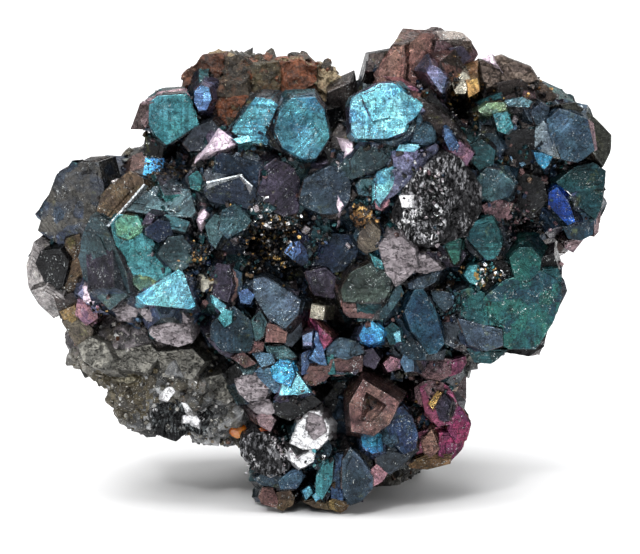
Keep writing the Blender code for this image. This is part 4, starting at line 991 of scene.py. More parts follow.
def add_hopper(solid, look, share, depth, kinds):
    """A stepped hollow in the main face."""
    solid.faces.ensure_lookup_table()
    main = max(solid.faces, key=lambda face: face.normal.dot(look) * face.calc_area())
    radius = max((vert.co - main.calc_center_median()).length for vert in main.verts)
    for part in HOPPER_STEPS:
        bmesh.ops.inset_individual(solid, faces=[main], thickness=radius * share * part)
        bmesh.ops.translate(solid, verts=main.verts, vec=-look * depth / len(HOPPER_STEPS))
    main[kinds] = HOLLOW


def refine(solid, longest, look, depth):
    """Split the edges that stand in front of the depth until none is longer than the limit."""
    bmesh.ops.triangulate(solid, faces=solid.faces)
    for _ in range(REFINE_ROUNDS):
        edges = [
            edge for edge in solid.edges
            if edge.calc_length() > longest and max(vert.co.dot(look) for vert in edge.verts) > depth
        ]
        if not edges:
            break
        bmesh.ops.subdivide_edges(solid, edges=edges, cuts=1)
        bmesh.ops.triangulate(solid, faces=[face for face in solid.faces if len(face.verts) > 3])


def sink(solid, depth):
    """Move each point of a solid inwards by the depth that belongs to its place."""
    solid.normal_update()
    for vert in solid.verts:
        vert.co -= vert.normal * depth(vert.co)


# Relief in millimetres; a pair is a height and a closeness
FACE_SINK = 0.03
FACE_WAVE = (0.020, 1.1)
FACE_GRAIN = (0.018, 3.6)
CHIP_DEPTH = 0.45
CHIP_CLOSENESS = 0.9
CHIP_SHIFT = Vector((7.0, 3.0, 1.0))
CHIP_FROM = 0.42
CHIP_LIMIT = 0.15
STREAK_DEPTH = 0.35
STREAK_CLOSENESS = (1.7, 1.7, 0.7)
ETCH_GRAIN = (0.30, 3.4)
ETCH_FINE = (0.16, 7.5)
ETCH_GAIN = 1.3
ETCH_LIMIT = 0.42
PLATE_BEND = 0.5
PLATE_BEND_CLOSENESS = 0.8
PLATE_CLOSENESS = (0.62, 0.62, 1.1)
PLATE_STEP = 0.05
STEP_CLOSENESS = (0.7, 0.0, 0.9)
CREVICE_WIDTH = 0.07
CREVICE_STEEPNESS = 2.4
PLATE_FINE = (0.02, 4.0)


def scaled(point, closeness):
    """A point with its coordinates multiplied one by one."""
    return Vector([value * share for value, share in zip(point, closeness)])


def ripple(point, height, closeness):
    """Smooth noise of that height, its bumps the closer together the larger the closeness."""
    return height * noise.noise(point * closeness)


def weathered(point):
    """Slightly uneven faces, chipped edges and small broken hollows."""
    chip = CHIP_DEPTH * max(0.0, noise.noise(point * CHIP_CLOSENESS + CHIP_SHIFT) - CHIP_FROM)
    return FACE_SINK + ripple(point, *FACE_WAVE) + ripple(point, *FACE_GRAIN) + min(chip, CHIP_LIMIT)


def etched(point):
    """Sugary etching: pits drawn out up and down the face."""
    streak = STREAK_DEPTH * noise.noise(scaled(point, STREAK_CLOSENESS))
    depth = max(0.0, streak + ripple(point, *ETCH_GRAIN) + ripple(point, *ETCH_FINE))
    return min(depth * ETCH_GAIN, ETCH_LIMIT)


def cracked(point):
    """Cleavage plates with narrow cracks between them."""
    bent = point + PLATE_BEND * noise.noise_vector(point * PLATE_BEND_CLOSENESS)
    distances, _ = noise.voronoi(scaled(bent, PLATE_CLOSENESS))
    gap = distances[1] - distances[0]
    step = PLATE_STEP * noise.cell(scaled(bent, STEP_CLOSENESS))
    crevice = max(0.0, CREVICE_WIDTH - gap) * CREVICE_STEEPNESS
    return step + crevice + ripple(point, *PLATE_FINE)


def paint(solid, crystal, look, kinds, chance):
    """Give each face its two tarnish colours by its kind, with painted shade and painted light laid over
    them, and the direction across its growth lines.
    """
    films = film_layers(solid)
    grain = solid.faces.layers.float_vector.new("grain")
    style = LOOKS[crystal.look]
    axis = facing(crystal._replace(habit=BLOCK)) @ Vector(chance.choice(GROWTH_AXES))
    for face in solid.faces:
        kind = face[kinds]
        first, second = style.face, style.shade
        # Painted light: a random share of light for this face
        shade = chance.uniform(*FACE_PAINTED_LIGHT)
        if kind == CUBE and not (crystal.habit.cube_looks_out and face.normal.dot(look) > MAIN_FACE):
            first, second = style.cube, blend(style.cube, style.shade, CUBE_BLEND)
        # Painted shade on the flanks, the more the farther they turn away
        if face.normal.dot(look) < MAIN_FACE:
            shade *= FLANK_PAINTED_SHADE + (1.0 - FLANK_PAINTED_SHADE) * max(0.0, face.normal.dot(look))
        else:
            shade = 1.0
        # Painted highlight on the bevelled edges
        if kind == EDGE:
            first, second = blend(style.face, EDGE_HIGHLIGHT_COLOUR, EDGE_HIGHLIGHT_SHARE), style.shade
        # Painted shade in the stepped hollow
        if kind == HOLLOW:
            shade = HOLLOW_PAINTED_SHADE
        give_colours(face, films, times(linear(first), shade), times(linear(second), shade))
        across_lines = axis - face.normal * axis.dot(face.normal)
        if across_lines.length > LINES_LEAST:
            face[grain] = across_lines.normalized()
        else:
            face[grain] = face.normal.orthogonal()


def bevelled(solid, width):
    """Bevel all the solid's edges; the faces that the bevel made."""
    result = bmesh.ops.bevel(
        solid, geom=solid.edges[:], offset=width, segments=1, affect="EDGES", profile=0.5, material=-1,
        clamp_overlap=True,
    )
    return result["faces"]


def is_broad(face):
    """Whether a face is large enough for growth steps and isn't at the back."""
    return face.calc_area() > TERRACE_REACH**2 and face.normal.y < TERRACES_UP_TO


def dressed(solid, crystal, look, longest):
    """A crystal's solid with bevelled edges, its relief and its colours."""
    chance = random.Random(crystal.name + "_dress")
    kinds = solid.faces.layers.int["kind"]
    trim_to_box(solid, kinds)
    style = LOOKS[crystal.look]
    width = min(max(BEVEL_SHARE * crystal.reach, BEVEL_RANGE[0]), BEVEL_RANGE[1])
    for face in bevelled(solid, width):
        face[kinds] = EDGE
    if crystal.name in HOPPERS:
        add_hopper(solid, look, *HOPPERS[crystal.name], kinds)
    elif style.relief == "terraced" and crystal.reach > TERRACE_REACH:
        broad = [face for face in solid.faces if is_broad(face)]
        add_terraces(solid, broad, kinds, chance)
    paint(solid, crystal, look, kinds, chance)
    middle = place(crystal.across, crystal.up, crystal.out)
    depth = middle.dot(look) - SHOWN_DEPTH * crystal.reach
    if style.relief == "terraced":
        refine(solid, longest, look, depth)
        sink(solid, weathered)
    else:
        refine(solid, ROUGH_EDGE, look, depth)
        sink(solid, etched if style.relief == "etched" else cracked)
    return solid


def merged_copy(node):
    """A bmesh of a CAD node's mesh in millimetres, its loose triangles merged."""
    copy = bmesh.new()
    copy.from_mesh(bpy.data.objects[node].data)
    bmesh.ops.scale(copy, vec=(1.0 / MM, 1.0 / MM, 1.0 / MM), verts=copy.verts)
    bmesh.ops.remove_doubles(copy, verts=copy.verts, dist=MERGE_REACH)
    bmesh.ops.recalc_face_normals(copy, faces=copy.faces)
    return copy


def remeshed(solid, voxel):
    """The solid as an even mesh of small quads, in millimetres."""
    mesh = as_mesh(solid, "coarse")
    carrier = bpy.data.objects.new("carrier", mesh)
    bpy.context.scene.collection.objects.link(carrier)
    remesh = carrier.modifiers.new("even", "REMESH")
    remesh.mode = "VOXEL"
    remesh.voxel_size = voxel
    fine = bpy.data.meshes.new_from_object(carrier.evaluated_get(bpy.context.evaluated_depsgraph_get()))
    bpy.data.objects.remove(carrier)
    bpy.data.meshes.remove(mesh)
    even = bmesh.new()
    even.from_mesh(fine)
    bpy.data.meshes.remove(fine)
    return even


RAYS = 8
RAY_START = 0.08
RAY_LIFT = 0.35
RAY_FROM_OUT = 60.0


class Surface:
    """The surface of one or more CAD nodes, for finding points on it."""

    def __init__(self, *nodes):
        copy = bmesh.new()
        for node in nodes:
            add_solid(copy, merged_copy(node))
        bmesh.ops.triangulate(copy, faces=copy.faces)
        copy.normal_update()
        self.tree = BVHTree.FromBMesh(copy)
        self.corners = [[vert.co.copy() for vert in face.verts] for face in copy.faces]
        self.normals = [face.normal.copy() for face in copy.faces]
        self.areas = [face.calc_area() for face in copy.faces]
        copy.free()

    def sample(self, count, chance):
        """Points spread over the surface by area, each with its normal."""
        chosen = chance.choices(range(len(self.areas)), weights=self.areas, k=count)
        for number in chosen:
            a, b, c = self.corners[number]
            u, v = chance.random(), chance.random()
            if u + v > 1.0:
                u, v = 1.0 - u, 1.0 - v
            yield a + (b - a) * u + (c - a) * v, self.normals[number]

    def closed_in(self, point, normal, reach):
        """The share of low rays round a point that meet the surface: high in a crevice."""
        side = normal.orthogonal()
        start = point + normal * RAY_START
        met = 0
        for step in range(RAYS):
            around = Matrix.Rotation(step * math.tau / RAYS, 3, normal) @ side
            ray = (around + normal * RAY_LIFT).normalized()
            if self.tree.ray_cast(start, ray, reach)[0] is not None:
                met += 1
        return met / RAYS

    def seen(self, px, py):
        """The point and the normal that the photograph's pixel falls on."""
        start = place((px - PIXEL_MIDDLE) / PIXELS_PER_MM, (PIXEL_FOOT - py) / PIXELS_PER_MM, RAY_FROM_OUT)
        return self.tree.ray_cast(start, VIEW_RAY)[:2]


def small_shape(habit):
    """A crystal form of a few faces, 1 to its cube faces, as a mesh."""
    solid = bmesh.new()
    kinds = solid.faces.layers.int.new("kind")
    bmesh.ops.create_cube(solid, size=BOX_REACHES)
    for direction, distance, kind in face_directions(Crystal("small", "teal", 0, 0, 0, 1.0, habit)):
        cut_face(solid, direction, distance, kind, kinds)
    bmesh.ops.recalc_face_normals(solid, faces=solid.faces)
    return as_mesh(solid, "small_shape")


def any_turn(chance, thinnest=1.0):
    """A turn that is as likely one way as another, with the crystal thinned to as little as that share."""
    turn = Matrix.Rotation(chance.uniform(0.0, math.tau), 3, "Z")
    turn = turn @ Matrix.Rotation(math.acos(chance.uniform(-1.0, 1.0)), 3, "X")
    turn = turn @ Matrix.Rotation(chance.uniform(0.0, math.tau), 3, "Z")
    return turn @ Matrix.Diagonal((1.0, chance.uniform(thinnest, 1.0), chance.uniform(thinnest, 1.0)))


def inside_box(point, margin):
    """Whether a point in millimetres lies well inside the CAD model's box."""
    low, high = cad_box
    return all(low[i] / MM + margin < point[i] < high[i] / MM - margin for i in range(3))


class Graph:
    """A short way to build a material's nodes."""

    def __init__(self, name):
        self.material = bpy.data.materials.new(name)
        self.material.use_nodes = True
        self.nodes = self.material.node_tree.nodes
        self.links = self.material.node_tree.links
        self.shader = self.nodes["Principled BSDF"]
        self.place = self.nodes.new("ShaderNodeTexCoord").outputs["Object"]

    def set(self, **values):
        """Set the shader's own sockets; underscores stand for spaces."""
        for name, value in values.items():
            self.shader.inputs[name.replace("_", " ")].default_value = value

    def attribute(self, name):
        """The colour that the faces carry under that name."""
        node = self.nodes.new("ShaderNodeAttribute")
        node.attribute_name = name
        return node.outputs["Color"]

    def noise_node(self, size_mm, detail, roughness):
        """A noise node whose patches are about that size."""
        node = self.nodes.new("ShaderNodeTexNoise")
        node.inputs["Scale"].default_value = 1.0 / (size_mm * MM)
        node.inputs["Detail"].default_value = detail
        node.inputs["Roughness"].default_value = roughness
        return node

    def noise(self, size_mm, detail=3.0, roughness=0.5, distortion=0.0, stretch=(1.0, 1.0, 1.0)):
        """Cloudy noise, drawn out along an axis where its stretch is below 1."""
        node = self.noise_node(size_mm, detail, roughness)
        node.inputs["Distortion"].default_value = distortion
        mapping = self.nodes.new("ShaderNodeMapping")
        mapping.inputs["Scale"].default_value = stretch
        self.links.new(self.place, mapping.inputs["Vector"])
        self.links.new(mapping.outputs["Vector"], node.inputs["Vector"])
        return node.outputs["Fac"]

    def growth_lines(self, size_mm, detail=4.0):
        """Straight lines across each face's own grain direction."""
        grain = self.nodes.new("ShaderNodeAttribute")
        grain.attribute_name = "grain"
        dot = self.nodes.new("ShaderNodeVectorMath")
        dot.operation = "DOT_PRODUCT"
        self.links.new(self.place, dot.inputs[0])
        self.links.new(grain.outputs["Vector"], dot.inputs[1])
        node = self.noise_node(size_mm, detail, 0.7)
        node.noise_dimensions = "1D"
        self.links.new(dot.outputs["Value"], node.inputs["W"])
        return node.outputs["Fac"]

    def plates(self, size_mm):
        """Straight-sided patches, each with a number of its own, as on a stepped crystal face."""
        node = self.nodes.new("ShaderNodeTexVoronoi")
        node.distance = "CHEBYCHEV"
        node.inputs["Scale"].default_value = 1.0 / (size_mm * MM)
        self.links.new(self.place, node.inputs["Vector"])
        split = self.nodes.new("ShaderNodeSeparateColor")
        self.links.new(node.outputs["Color"], split.inputs[0])
        return split.outputs[0]

    def seams(self, size_mm, width, stretch=(1.0, 1.0, 1.0)):
        """Thin wandering cracks: 0 in the crack and 1 beside it."""
        offset = self.maths("SUBTRACT", self.noise(size_mm, 4.0, 0.6, 0.0, stretch), 0.5)
        return self.ramp(self.maths("ABSOLUTE", offset, 0.0), 0.0, width)

    def product(self, *values):
        """Several numbers multiplied."""
        result = values[0]
        for value in values[1:]:
            result = self.maths("MULTIPLY", result, value)
        return result

    def shift_hue(self, colour, size_mm, range_of_hue):
        """The colour with its hue drifting from place to place."""
        node = self.nodes.new("ShaderNodeHueSaturation")
        low, high = 0.5 - range_of_hue, 0.5 + range_of_hue
        self.feed(self.ramp(self.noise(size_mm, 3.0, 0.6), 0.35, 0.65, low, high), node.inputs["Hue"])
        self.feed(colour, node.inputs["Color"])
        return node.outputs["Color"]

    def ramp(self, value, low, high, start=0.0, end=1.0):
        """A number spread from one range to another, held at its ends."""
        node = self.nodes.new("ShaderNodeMapRange")
        node.inputs["From Min"].default_value = low
        node.inputs["From Max"].default_value = high
        node.inputs["To Min"].default_value = start
        node.inputs["To Max"].default_value = end
        self.links.new(value, node.inputs["Value"])
        return node.outputs["Result"]

    def feed(self, value, socket):
        """Give a socket a number, a colour or what another node works out."""
        if isinstance(value, bpy.types.NodeSocket):
            self.links.new(value, socket)
        elif isinstance(value, tuple):
            socket.default_value = (*linear(value), 1.0)
        else:
            socket.default_value = value

    def mix(self, factor, first, second, blend_type="MIX"):
        """Two colours mixed by a number or a socket."""
        node = self.nodes.new("ShaderNodeMix")
        node.data_type = "RGBA"
        node.blend_type = blend_type
        for value, socket in ((factor, node.inputs[0]), (first, node.inputs[6]), (second, node.inputs[7])):
            self.feed(value, socket)
        return node.outputs[2]

    def maths(self, operation, first, second):
        """Two numbers worked together."""
        node = self.nodes.new("ShaderNodeMath")
        node.operation = operation
        self.feed(first, node.inputs[0])
        self.feed(second, node.inputs[1])
        return node.outputs[0]

    def darkened(self, colour, share):
        """A colour multiplied by a number."""
        grey = self.nodes.new("ShaderNodeCombineColor")
        for socket in grey.inputs[:3]:
            self.links.new(share, socket)
        return self.mix(1.0, colour, grey.outputs[0], "MULTIPLY")

    def films(self, share):
        """The faces' two tarnish colours mixed by a number."""
        return self.mix(share, self.attribute("film"), self.attribute("film_b"))

    def total(self, *values):
        """Several numbers added up."""
        result = values[0]
        for value in values[1:]:
            result = self.maths("ADD", result, value)
        return result

    def to(self, value, socket):
        """Link a value to one of the shader's sockets."""
        self.links.new(value, self.shader.inputs[socket])

    def bump(self, height, depth_mm, strength=1.0):
        """Fine relief from a height."""
        node = self.nodes.new("ShaderNodeBump")
        node.inputs["Strength"].default_value = strength
        node.inputs["Distance"].default_value = depth_mm * MM
        self.links.new(height, node.inputs["Height"])
        self.links.new(node.outputs["Normal"], self.shader.inputs["Normal"])


def tarnish_material():
    """Tarnished galena: two films in straight-sided growth layers, growth lines, glints and pits."""
    graph = Graph("tarnished_galena")
    wide, narrow = graph.plates(1.5), graph.plates(0.42)
    lines = graph.growth_lines(0.42)
    lined = graph.ramp(graph.noise(2.2, 2.0), 0.42, 0.58)
    cloud = graph.noise(2.4, 5.0, 0.68, 0.6)
    mixed = graph.total(graph.product(cloud, 0.70), graph.product(wide, 0.30))
    colour = graph.films(graph.ramp(mixed, 0.42, 0.66))
    glint = graph.ramp(graph.noise(1.9, 6.0, 0.72, 0.3), 0.60, 0.70, 0.0, 0.4)
    colour = graph.mix(glint, colour, graph.mix(0.55, graph.attribute("film"), (160, 165, 84)))
    colour = graph.shift_hue(colour, 3.2, 0.016)
    shade = graph.product(
        graph.ramp(narrow, 0.0, 1.0, 0.76, 1.20),
        graph.ramp(graph.noise(3.4, 3.0, 0.6), 0.36, 0.62, 0.64, 1.20),
        graph.ramp(graph.product(graph.maths("SUBTRACT", lines, 0.5), lined), -0.12, 0.12, 0.62, 1.32),
        graph.ramp(graph.noise(0.42, 6.0, 0.85), 0.36, 0.62, 0.64, 1.24),
        graph.ramp(graph.noise(0.15, 3.0, 0.7), 0.38, 0.47, 0.26, 1.0),
        graph.ramp(graph.seams(2.6, 0.016), 0.0, 1.0, 0.30, 1.0),
    )
    colour = graph.darkened(colour, shade)
    # Painted highlight: pale sparkle specks, gathered in patches
    spark = graph.product(
        graph.ramp(graph.noise(0.17, 3.0, 0.7), 0.60, 0.65, 0.0, 0.9),
        graph.ramp(graph.noise(1.3, 4.0, 0.7), 0.50, 0.60),
    )
    colour = graph.mix(spark, colour, (214, 220, 220))
    graph.to(colour, "Base Color")
    graph.to(graph.ramp(graph.noise(0.7, 4.0, 0.6), 0.3, 0.7, 0.14, 0.38), "Roughness")
    graph.set(Metallic=0.85, IOR=1.8)
    height = graph.total(
        graph.product(narrow, 0.10),
        graph.product(wide, 0.16),
        graph.product(lines, lined, 0.26),
        graph.product(graph.noise(0.30, 5.0, 0.75), 0.18),
    )
    graph.bump(height, 0.30)
    return graph.material


def etched_material():
    """Etched galena: fine silver streaks on black hollows."""
    graph = Graph("etched_galena")
    streaks = graph.ramp(graph.noise(0.26, 5.0, 0.75, 0.0, (1.0, 1.0, 0.42)), 0.50, 0.56)
    zones = graph.ramp(graph.noise(2.0, 3.0, 0.6), 0.42, 0.62, 0.12, 1.0)
    colour = graph.mix(graph.product(streaks, zones), (15, 15, 17), graph.attribute("film"))
    # Painted highlight: near-white flashes on some of the streaks
    flash = graph.ramp(graph.noise(2.6, 3.0, 0.6), 0.58, 0.63)
    colour = graph.mix(graph.product(flash, streaks), colour, (242, 242, 244))
    graph.to(colour, "Base Color")
    graph.set(Metallic=0.80, Roughness=0.28)
    graph.bump(graph.noise(0.24, 5.0, 0.75, 0.0, (1.0, 1.0, 0.42)), 0.22)
    return graph.material


def cleaved_material():
    """Cleaved galena: lead grey plates with a mauve cast, split by thin dark seams."""
    graph = Graph("cleaved_galena")
    wide, narrow = graph.plates(1.1), graph.plates(0.36)
    mixed = graph.total(graph.product(graph.noise(1.2, 5.0, 0.7), 0.6), graph.product(wide, 0.4))
    colour = graph.films(graph.ramp(mixed, 0.4, 0.62))
    seams = graph.product(
        graph.ramp(graph.seams(2.2, 0.022, (1.0, 1.0, 2.2)), 0.0, 1.0, 0.10, 1.0),
        graph.ramp(graph.seams(1.0, 0.016, (1.0, 1.0, 1.6)), 0.0, 1.0, 0.50, 1.0),
        graph.ramp(narrow, 0.0, 1.0, 0.72, 1.2),
        graph.ramp(graph.noise(0.2, 4.0, 0.7), 0.34, 0.42, 0.50, 1.0),
    )
    colour = graph.darkened(colour, seams)
    graph.to(colour, "Base Color")
    graph.set(Metallic=0.55, Roughness=0.34)
    fine = graph.product(graph.noise(0.25, 4.0, 0.7), 0.35)
    graph.bump(graph.total(graph.product(seams, 0.3), fine, graph.product(wide, 0.25)), 0.30)
    return graph.material


def bright_material():
    """Fresh faces that throw the light back: their colour is painted nearly white as a painted reflection,
    with fine dark cracks.
    """
    graph = Graph("bright_galena")
    colour = graph.films(graph.ramp(graph.noise(0.8, 5.0, 0.7), 0.44, 0.66))
    cracks = graph.product(
        graph.ramp(graph.seams(1.1, 0.016, (1.0, 1.0, 1.4)), 0.0, 1.0, 0.10, 1.0),
        graph.ramp(graph.noise(0.22, 4.0, 0.75), 0.34, 0.44, 0.25, 1.0),
    )
    colour = graph.darkened(colour, cracks)
    graph.to(colour, "Base Color")
    graph.set(Metallic=0.15, Roughness=0.30, IOR=1.8)
    graph.bump(graph.product(cracks, 0.4), 0.20)
    return graph.material


def druse_material():
    """The dark grainy ground between the crystals, with gold and silver specks painted as glints."""
    graph = Graph("dark_druse")
    patches = graph.ramp(graph.noise(1.6, 5.0, 0.7), 0.40, 0.62)
    colour = graph.mix(patches, (20, 20, 23), (58, 50, 46))
    teal_stain = graph.ramp(graph.noise(2.6, 4.0, 0.65, 0.4), 0.54, 0.64, 0.0, 0.7)
    colour = graph.mix(teal_stain, colour, (36, 68, 76))
    # Painted glints: gold specks in patches
    gold_glints = graph.ramp(graph.noise(0.19, 4.0, 0.7), 0.60, 0.64)
    gold_zones = graph.ramp(graph.noise(3.5, 2.0, 0.5), 0.46, 0.58)
    colour = graph.mix(graph.product(gold_glints, gold_zones), colour, (196, 156, 100))
    # Painted glints: silver specks
    silver_glints = graph.ramp(graph.noise(0.15, 3.0, 0.7), 0.65, 0.68)
    colour = graph.mix(silver_glints, colour, (206, 208, 210))
    graph.to(colour, "Base Color")
    graph.to(graph.ramp(graph.noise(0.5, 3.0, 0.6), 0.3, 0.7, 0.20, 0.5), "Roughness")
    graph.set(Metallic=0.75)
    graph.bump(graph.total(graph.noise(0.28, 5.0, 0.75), graph.product(graph.plates(0.4), 0.5)), 0.22)
    return graph.material


def rock_material():
    """Ore rock: each chunk in its own tone, sugary, with dark seams, rusty stains and bright grains."""
    graph = Graph("ore_rock")
    fine = graph.ramp(graph.noise(0.55, 6.0, 0.75), 0.38, 0.62)
    colour = graph.mix(fine, graph.attribute("film_b"), graph.attribute("film"))
    olive = graph.ramp(graph.noise(3.4, 4.0, 0.65, 0.3), 0.50, 0.62, 0.0, 0.5)
    colour = graph.mix(olive, colour, (84, 74, 50))
    dark = graph.ramp(graph.noise(0.8, 5.0, 0.75), 0.54, 0.62, 0.0, 0.85)
    colour = graph.mix(dark, colour, (30, 29, 28))
    rust = graph.ramp(graph.noise(3.2, 4.0, 0.6, 0.8), 0.62, 0.70, 0.0, 0.55)
    colour = graph.mix(rust, colour, (112, 66, 42))
    white = graph.ramp(graph.noise(0.20, 4.0, 0.7), 0.60, 0.64, 0.0, 0.85)
    colour = graph.mix(white, colour, (212, 210, 202))
    graph.to(colour, "Base Color")
    graph.to(graph.ramp(graph.noise(0.4, 3.0, 0.6), 0.35, 0.65, 0.24, 0.70), "Roughness")
    graph.set(Metallic=0.25, IOR=1.6)
    graph.bump(graph.total(graph.noise(0.35, 6.0, 0.75), graph.product(graph.plates(0.5), 0.4)), 0.25)
    return graph.material


def grain_material():
    """Loose-looking grains grown on the rock and in the crevices, each in its own colour."""
    graph = Graph("bright_grains")
    colour = graph.films(graph.ramp(graph.noise(0.3, 3.0), 0.4, 0.6))
    graph.to(colour, "Base Color")
    graph.set(Metallic=0.40, Roughness=0.22, IOR=1.6)
    graph.bump(graph.noise(0.2, 3.0, 0.6), 0.03, 0.7)
    return graph.material


def resin_material(name):
    """Sphalerite: glossy brown resin, darker and lighter in fine zones under the surface, with tiny pale
    specks of painted highlight.
    """
    graph = Graph(name)
    zones = graph.ramp(graph.noise(1.2, 6.0, 0.75, 0.6), 0.36, 0.62)
    colour = graph.mix(zones, graph.attribute("film_b"), graph.attribute("film"))
    amber = graph.ramp(graph.noise(1.1, 5.0, 0.7, 0.5), 0.52, 0.66, 0.0, 0.35)
    colour = graph.mix(amber, colour, graph.mix(0.5, graph.attribute("film"), (170, 92, 40)))
    dark = graph.product(
        graph.ramp(graph.noise(0.4, 5.0, 0.8), 0.36, 0.56, 0.30, 1.15),
        graph.ramp(graph.seams(1.3, 0.02), 0.0, 1.0, 0.3, 1.0),
    )
    colour = graph.darkened(colour, dark)
    # Painted highlight: tiny pale specks
    pale = graph.ramp(graph.noise(0.18, 3.0, 0.7), 0.65, 0.69, 0.0, 0.7)
    colour = graph.mix(pale, colour, (222, 208, 176))
    graph.to(colour, "Base Color")
    graph.to(graph.ramp(graph.noise(0.4, 3.0, 0.6), 0.3, 0.7, 0.12, 0.45), "Roughness")
    graph.set(Metallic=0.0, IOR=1.45)
    graph.bump(graph.total(graph.noise(0.30, 5.0, 0.75), graph.product(graph.plates(0.7), 0.3)), 0.22)
    return graph.material


def drop_material(name, colour):
    """A clear bead of resin."""
    graph = Graph(name)
    zones = graph.ramp(graph.noise(0.8, 3.0, 0.6), 0.4, 0.6)
    graph.to(graph.mix(zones, colour, blend(colour, (255, 220, 150), 0.35)), "Base Color")
    graph.set(Roughness=0.08, IOR=1.7, Transmission_Weight=0.45, Subsurface_Weight=0.3, Subsurface_Scale=MM)
    return graph.material


# Pieces of each mineral
RESIN = {
    "resin_red": ((96, 58, 40), (42, 28, 22)),
    "resin_olive": ((84, 74, 50), (36, 33, 26)),
    "resin_dark": ((60, 50, 38), (24, 22, 19)),
    "resin_orange": ((124, 70, 42), (60, 36, 25)),
    "resin_pale": ((168, 150, 120), (96, 82, 62)),
}
MASS_VOXEL = 0.36
ROCK_VOXEL = 0.34
FOOT_BAND = 0.35
ROCK_SINK = 0.28
ROCK_WAVE = (0.30, 0.55)
ROCK_CHIPS = 0.20
ROCK_GRAIN = (0.16, 2.2)
ROCK_SHADE = 0.35


def make_galena(material_by_relief):
    """The crystals that face the viewer, in groups from left to right, and those round the sides and back."""
    groups = {name: new_target() for name in GALENA_GROUPS}
    shown = [facet_solid(facet) for facet in FACETS]
    for crystal in GALENA:
        solid, look = crystal_solid(crystal)
        shown.append((solid, crystal, look))
    for solid, crystal, look in shown:
        relief = LOOKS[crystal.look].relief
        if relief == "terraced":
            relief = f"front_{sum(crystal.across > end for end in GROUP_ENDS)}"
        add_solid(groups[relief], dressed(solid, crystal, look, FRONT_EDGE))
    for crystal in hidden_crystals():
        solid, look = crystal_solid(crystal)
        add_solid(groups["sides"], dressed(solid, crystal, look, SIDE_EDGE))
    for group, target in groups.items():
        material = material_by_relief[group.split("_")[0]]
        piece = as_piece(target, f"galena_{group}", material)
        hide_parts("galena_crystals")


GROUND_SINK = 0.75
GROUND_WAVE = (0.20, 1.3)
GROUND_GRAIN = (0.14, 3.1)


def make_galena_ground(material):
    """The grainy mass that the crystals grow out of, just under their faces."""
    mass = remeshed(merged_copy("galena_crystals"), MASS_VOXEL)
    sink(mass, lambda point: GROUND_SINK + ripple(point, *GROUND_WAVE) + ripple(point, *GROUND_GRAIN))
    piece = as_piece(mass, "galena_ground", material)
    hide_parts("galena_crystals")


UNDER_LOOKS = (
    "slate", "deep_teal", "ink_blue", "black", "umber", "violet_slate", "slate_teal", "navy", "steel_slate",
    "deep_sea_dark", "ink_teal", "black",
)
UNDER_SINK = 0.38
UNDER_WAVE = (0.10, 1.7)
UNDER_EDGE = 0.9
UNDER_SHADE = (0.55, 1.15)
CROWN_LOOKS = ("maroon", "umber_plum", "plum", "maroon_rose", "umber")
CROWN_FROM = (5.0, 41.0)
HOLLOW_PLACE = (5.2, 10.8, 10.6)
HOLLOW_REACH = 2.6
HOLLOW_DEPTH = 1.6


def depth_under(point):
    """How far the crystals between lie inside the solid: farther behind the stepped hollow."""
    depth = UNDER_SINK + ripple(point, *UNDER_WAVE)
    if (point - place(*HOLLOW_PLACE)).length < HOLLOW_REACH:
        depth += HOLLOW_DEPTH
    return depth


def make_under_crystals(material):
    """The dark crystals between the shown ones: a merged copy of the solid, a little inside it."""
    mass = merged_copy("galena_crystals")
    bmesh.ops.dissolve_limit(mass, angle_limit=math.radians(1.0), verts=mass.verts, edges=mass.edges)
    mass.normal_update()
    films = film_layers(mass)
    grain = mass.faces.layers.float_vector.new("grain")
    for number, face in enumerate(mass.faces):
        chance = random.Random(SEED + 10 + number)
        across, up, _ = seen_at(face.calc_center_median())
        in_crown = across > CROWN_FROM[0] and up > CROWN_FROM[1]
        look = LOOKS[chance.choice(CROWN_LOOKS if in_crown else UNDER_LOOKS)]
        shade = chance.uniform(*UNDER_SHADE)
        give_colours(face, films, times(linear(look.face), shade), times(linear(look.shade), shade))
        face[grain] = face.normal.orthogonal()
    refine(mass, UNDER_EDGE, UPWARD, -FACET_BLOCK)
    sink(mass, depth_under)
    piece = as_piece(mass, "galena_between", material)
    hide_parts("galena_crystals")


SMALL_HABITS = (BLOCK, BLOCK, TRI, EIGHT, HEX)
THIN = 0.35
SIZE_SPREAD = (0.4, 1.0)
CREVICE_TRIES = 9000
CREVICE_REACH = 1.6
CREVICE_SHARE = 0.37
CREVICE_SIZE = (0.14, 0.50)
# Mostly dark looks: the crystals' own tarnish, with painted shade in the crevices
CREVICE_LOOKS = (
    "black", "black", "black", "umber", "umber", "slate", "deep_teal", "deep_teal", "plum", "ink_blue",
    "navy", "teal", "lead", "bronze", "steel", "olive",
)


def make_crevice_crystals(galena, material):
    """Small crystals in the crevices between the large ones, all round, mostly in dark tones: partly their
    own tarnish, partly painted shade of the crevices.
    """
    chance = random.Random(SEED + 2)
    shapes = [small_shape(habit) for habit in SMALL_HABITS]
    pile = Pile()
    for point, normal in galena.sample(CREVICE_TRIES, chance):
        reach = chance.uniform(*CREVICE_SIZE) * chance.uniform(*SIZE_SPREAD)
        shape, turn, look = chance.choice(shapes), any_turn(chance, THIN), LOOKS[chance.choice(CREVICE_LOOKS)]
        if galena.closed_in(point, normal, CREVICE_REACH) < CREVICE_SHARE:
            continue
        if not inside_box(point, reach):
            continue
        pile.add(shape, point, reach, turn, linear(look.face), linear(look.shade))
    piece = as_piece(pile.whole(), "crevice_crystals", material)
    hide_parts("galena_crystals")


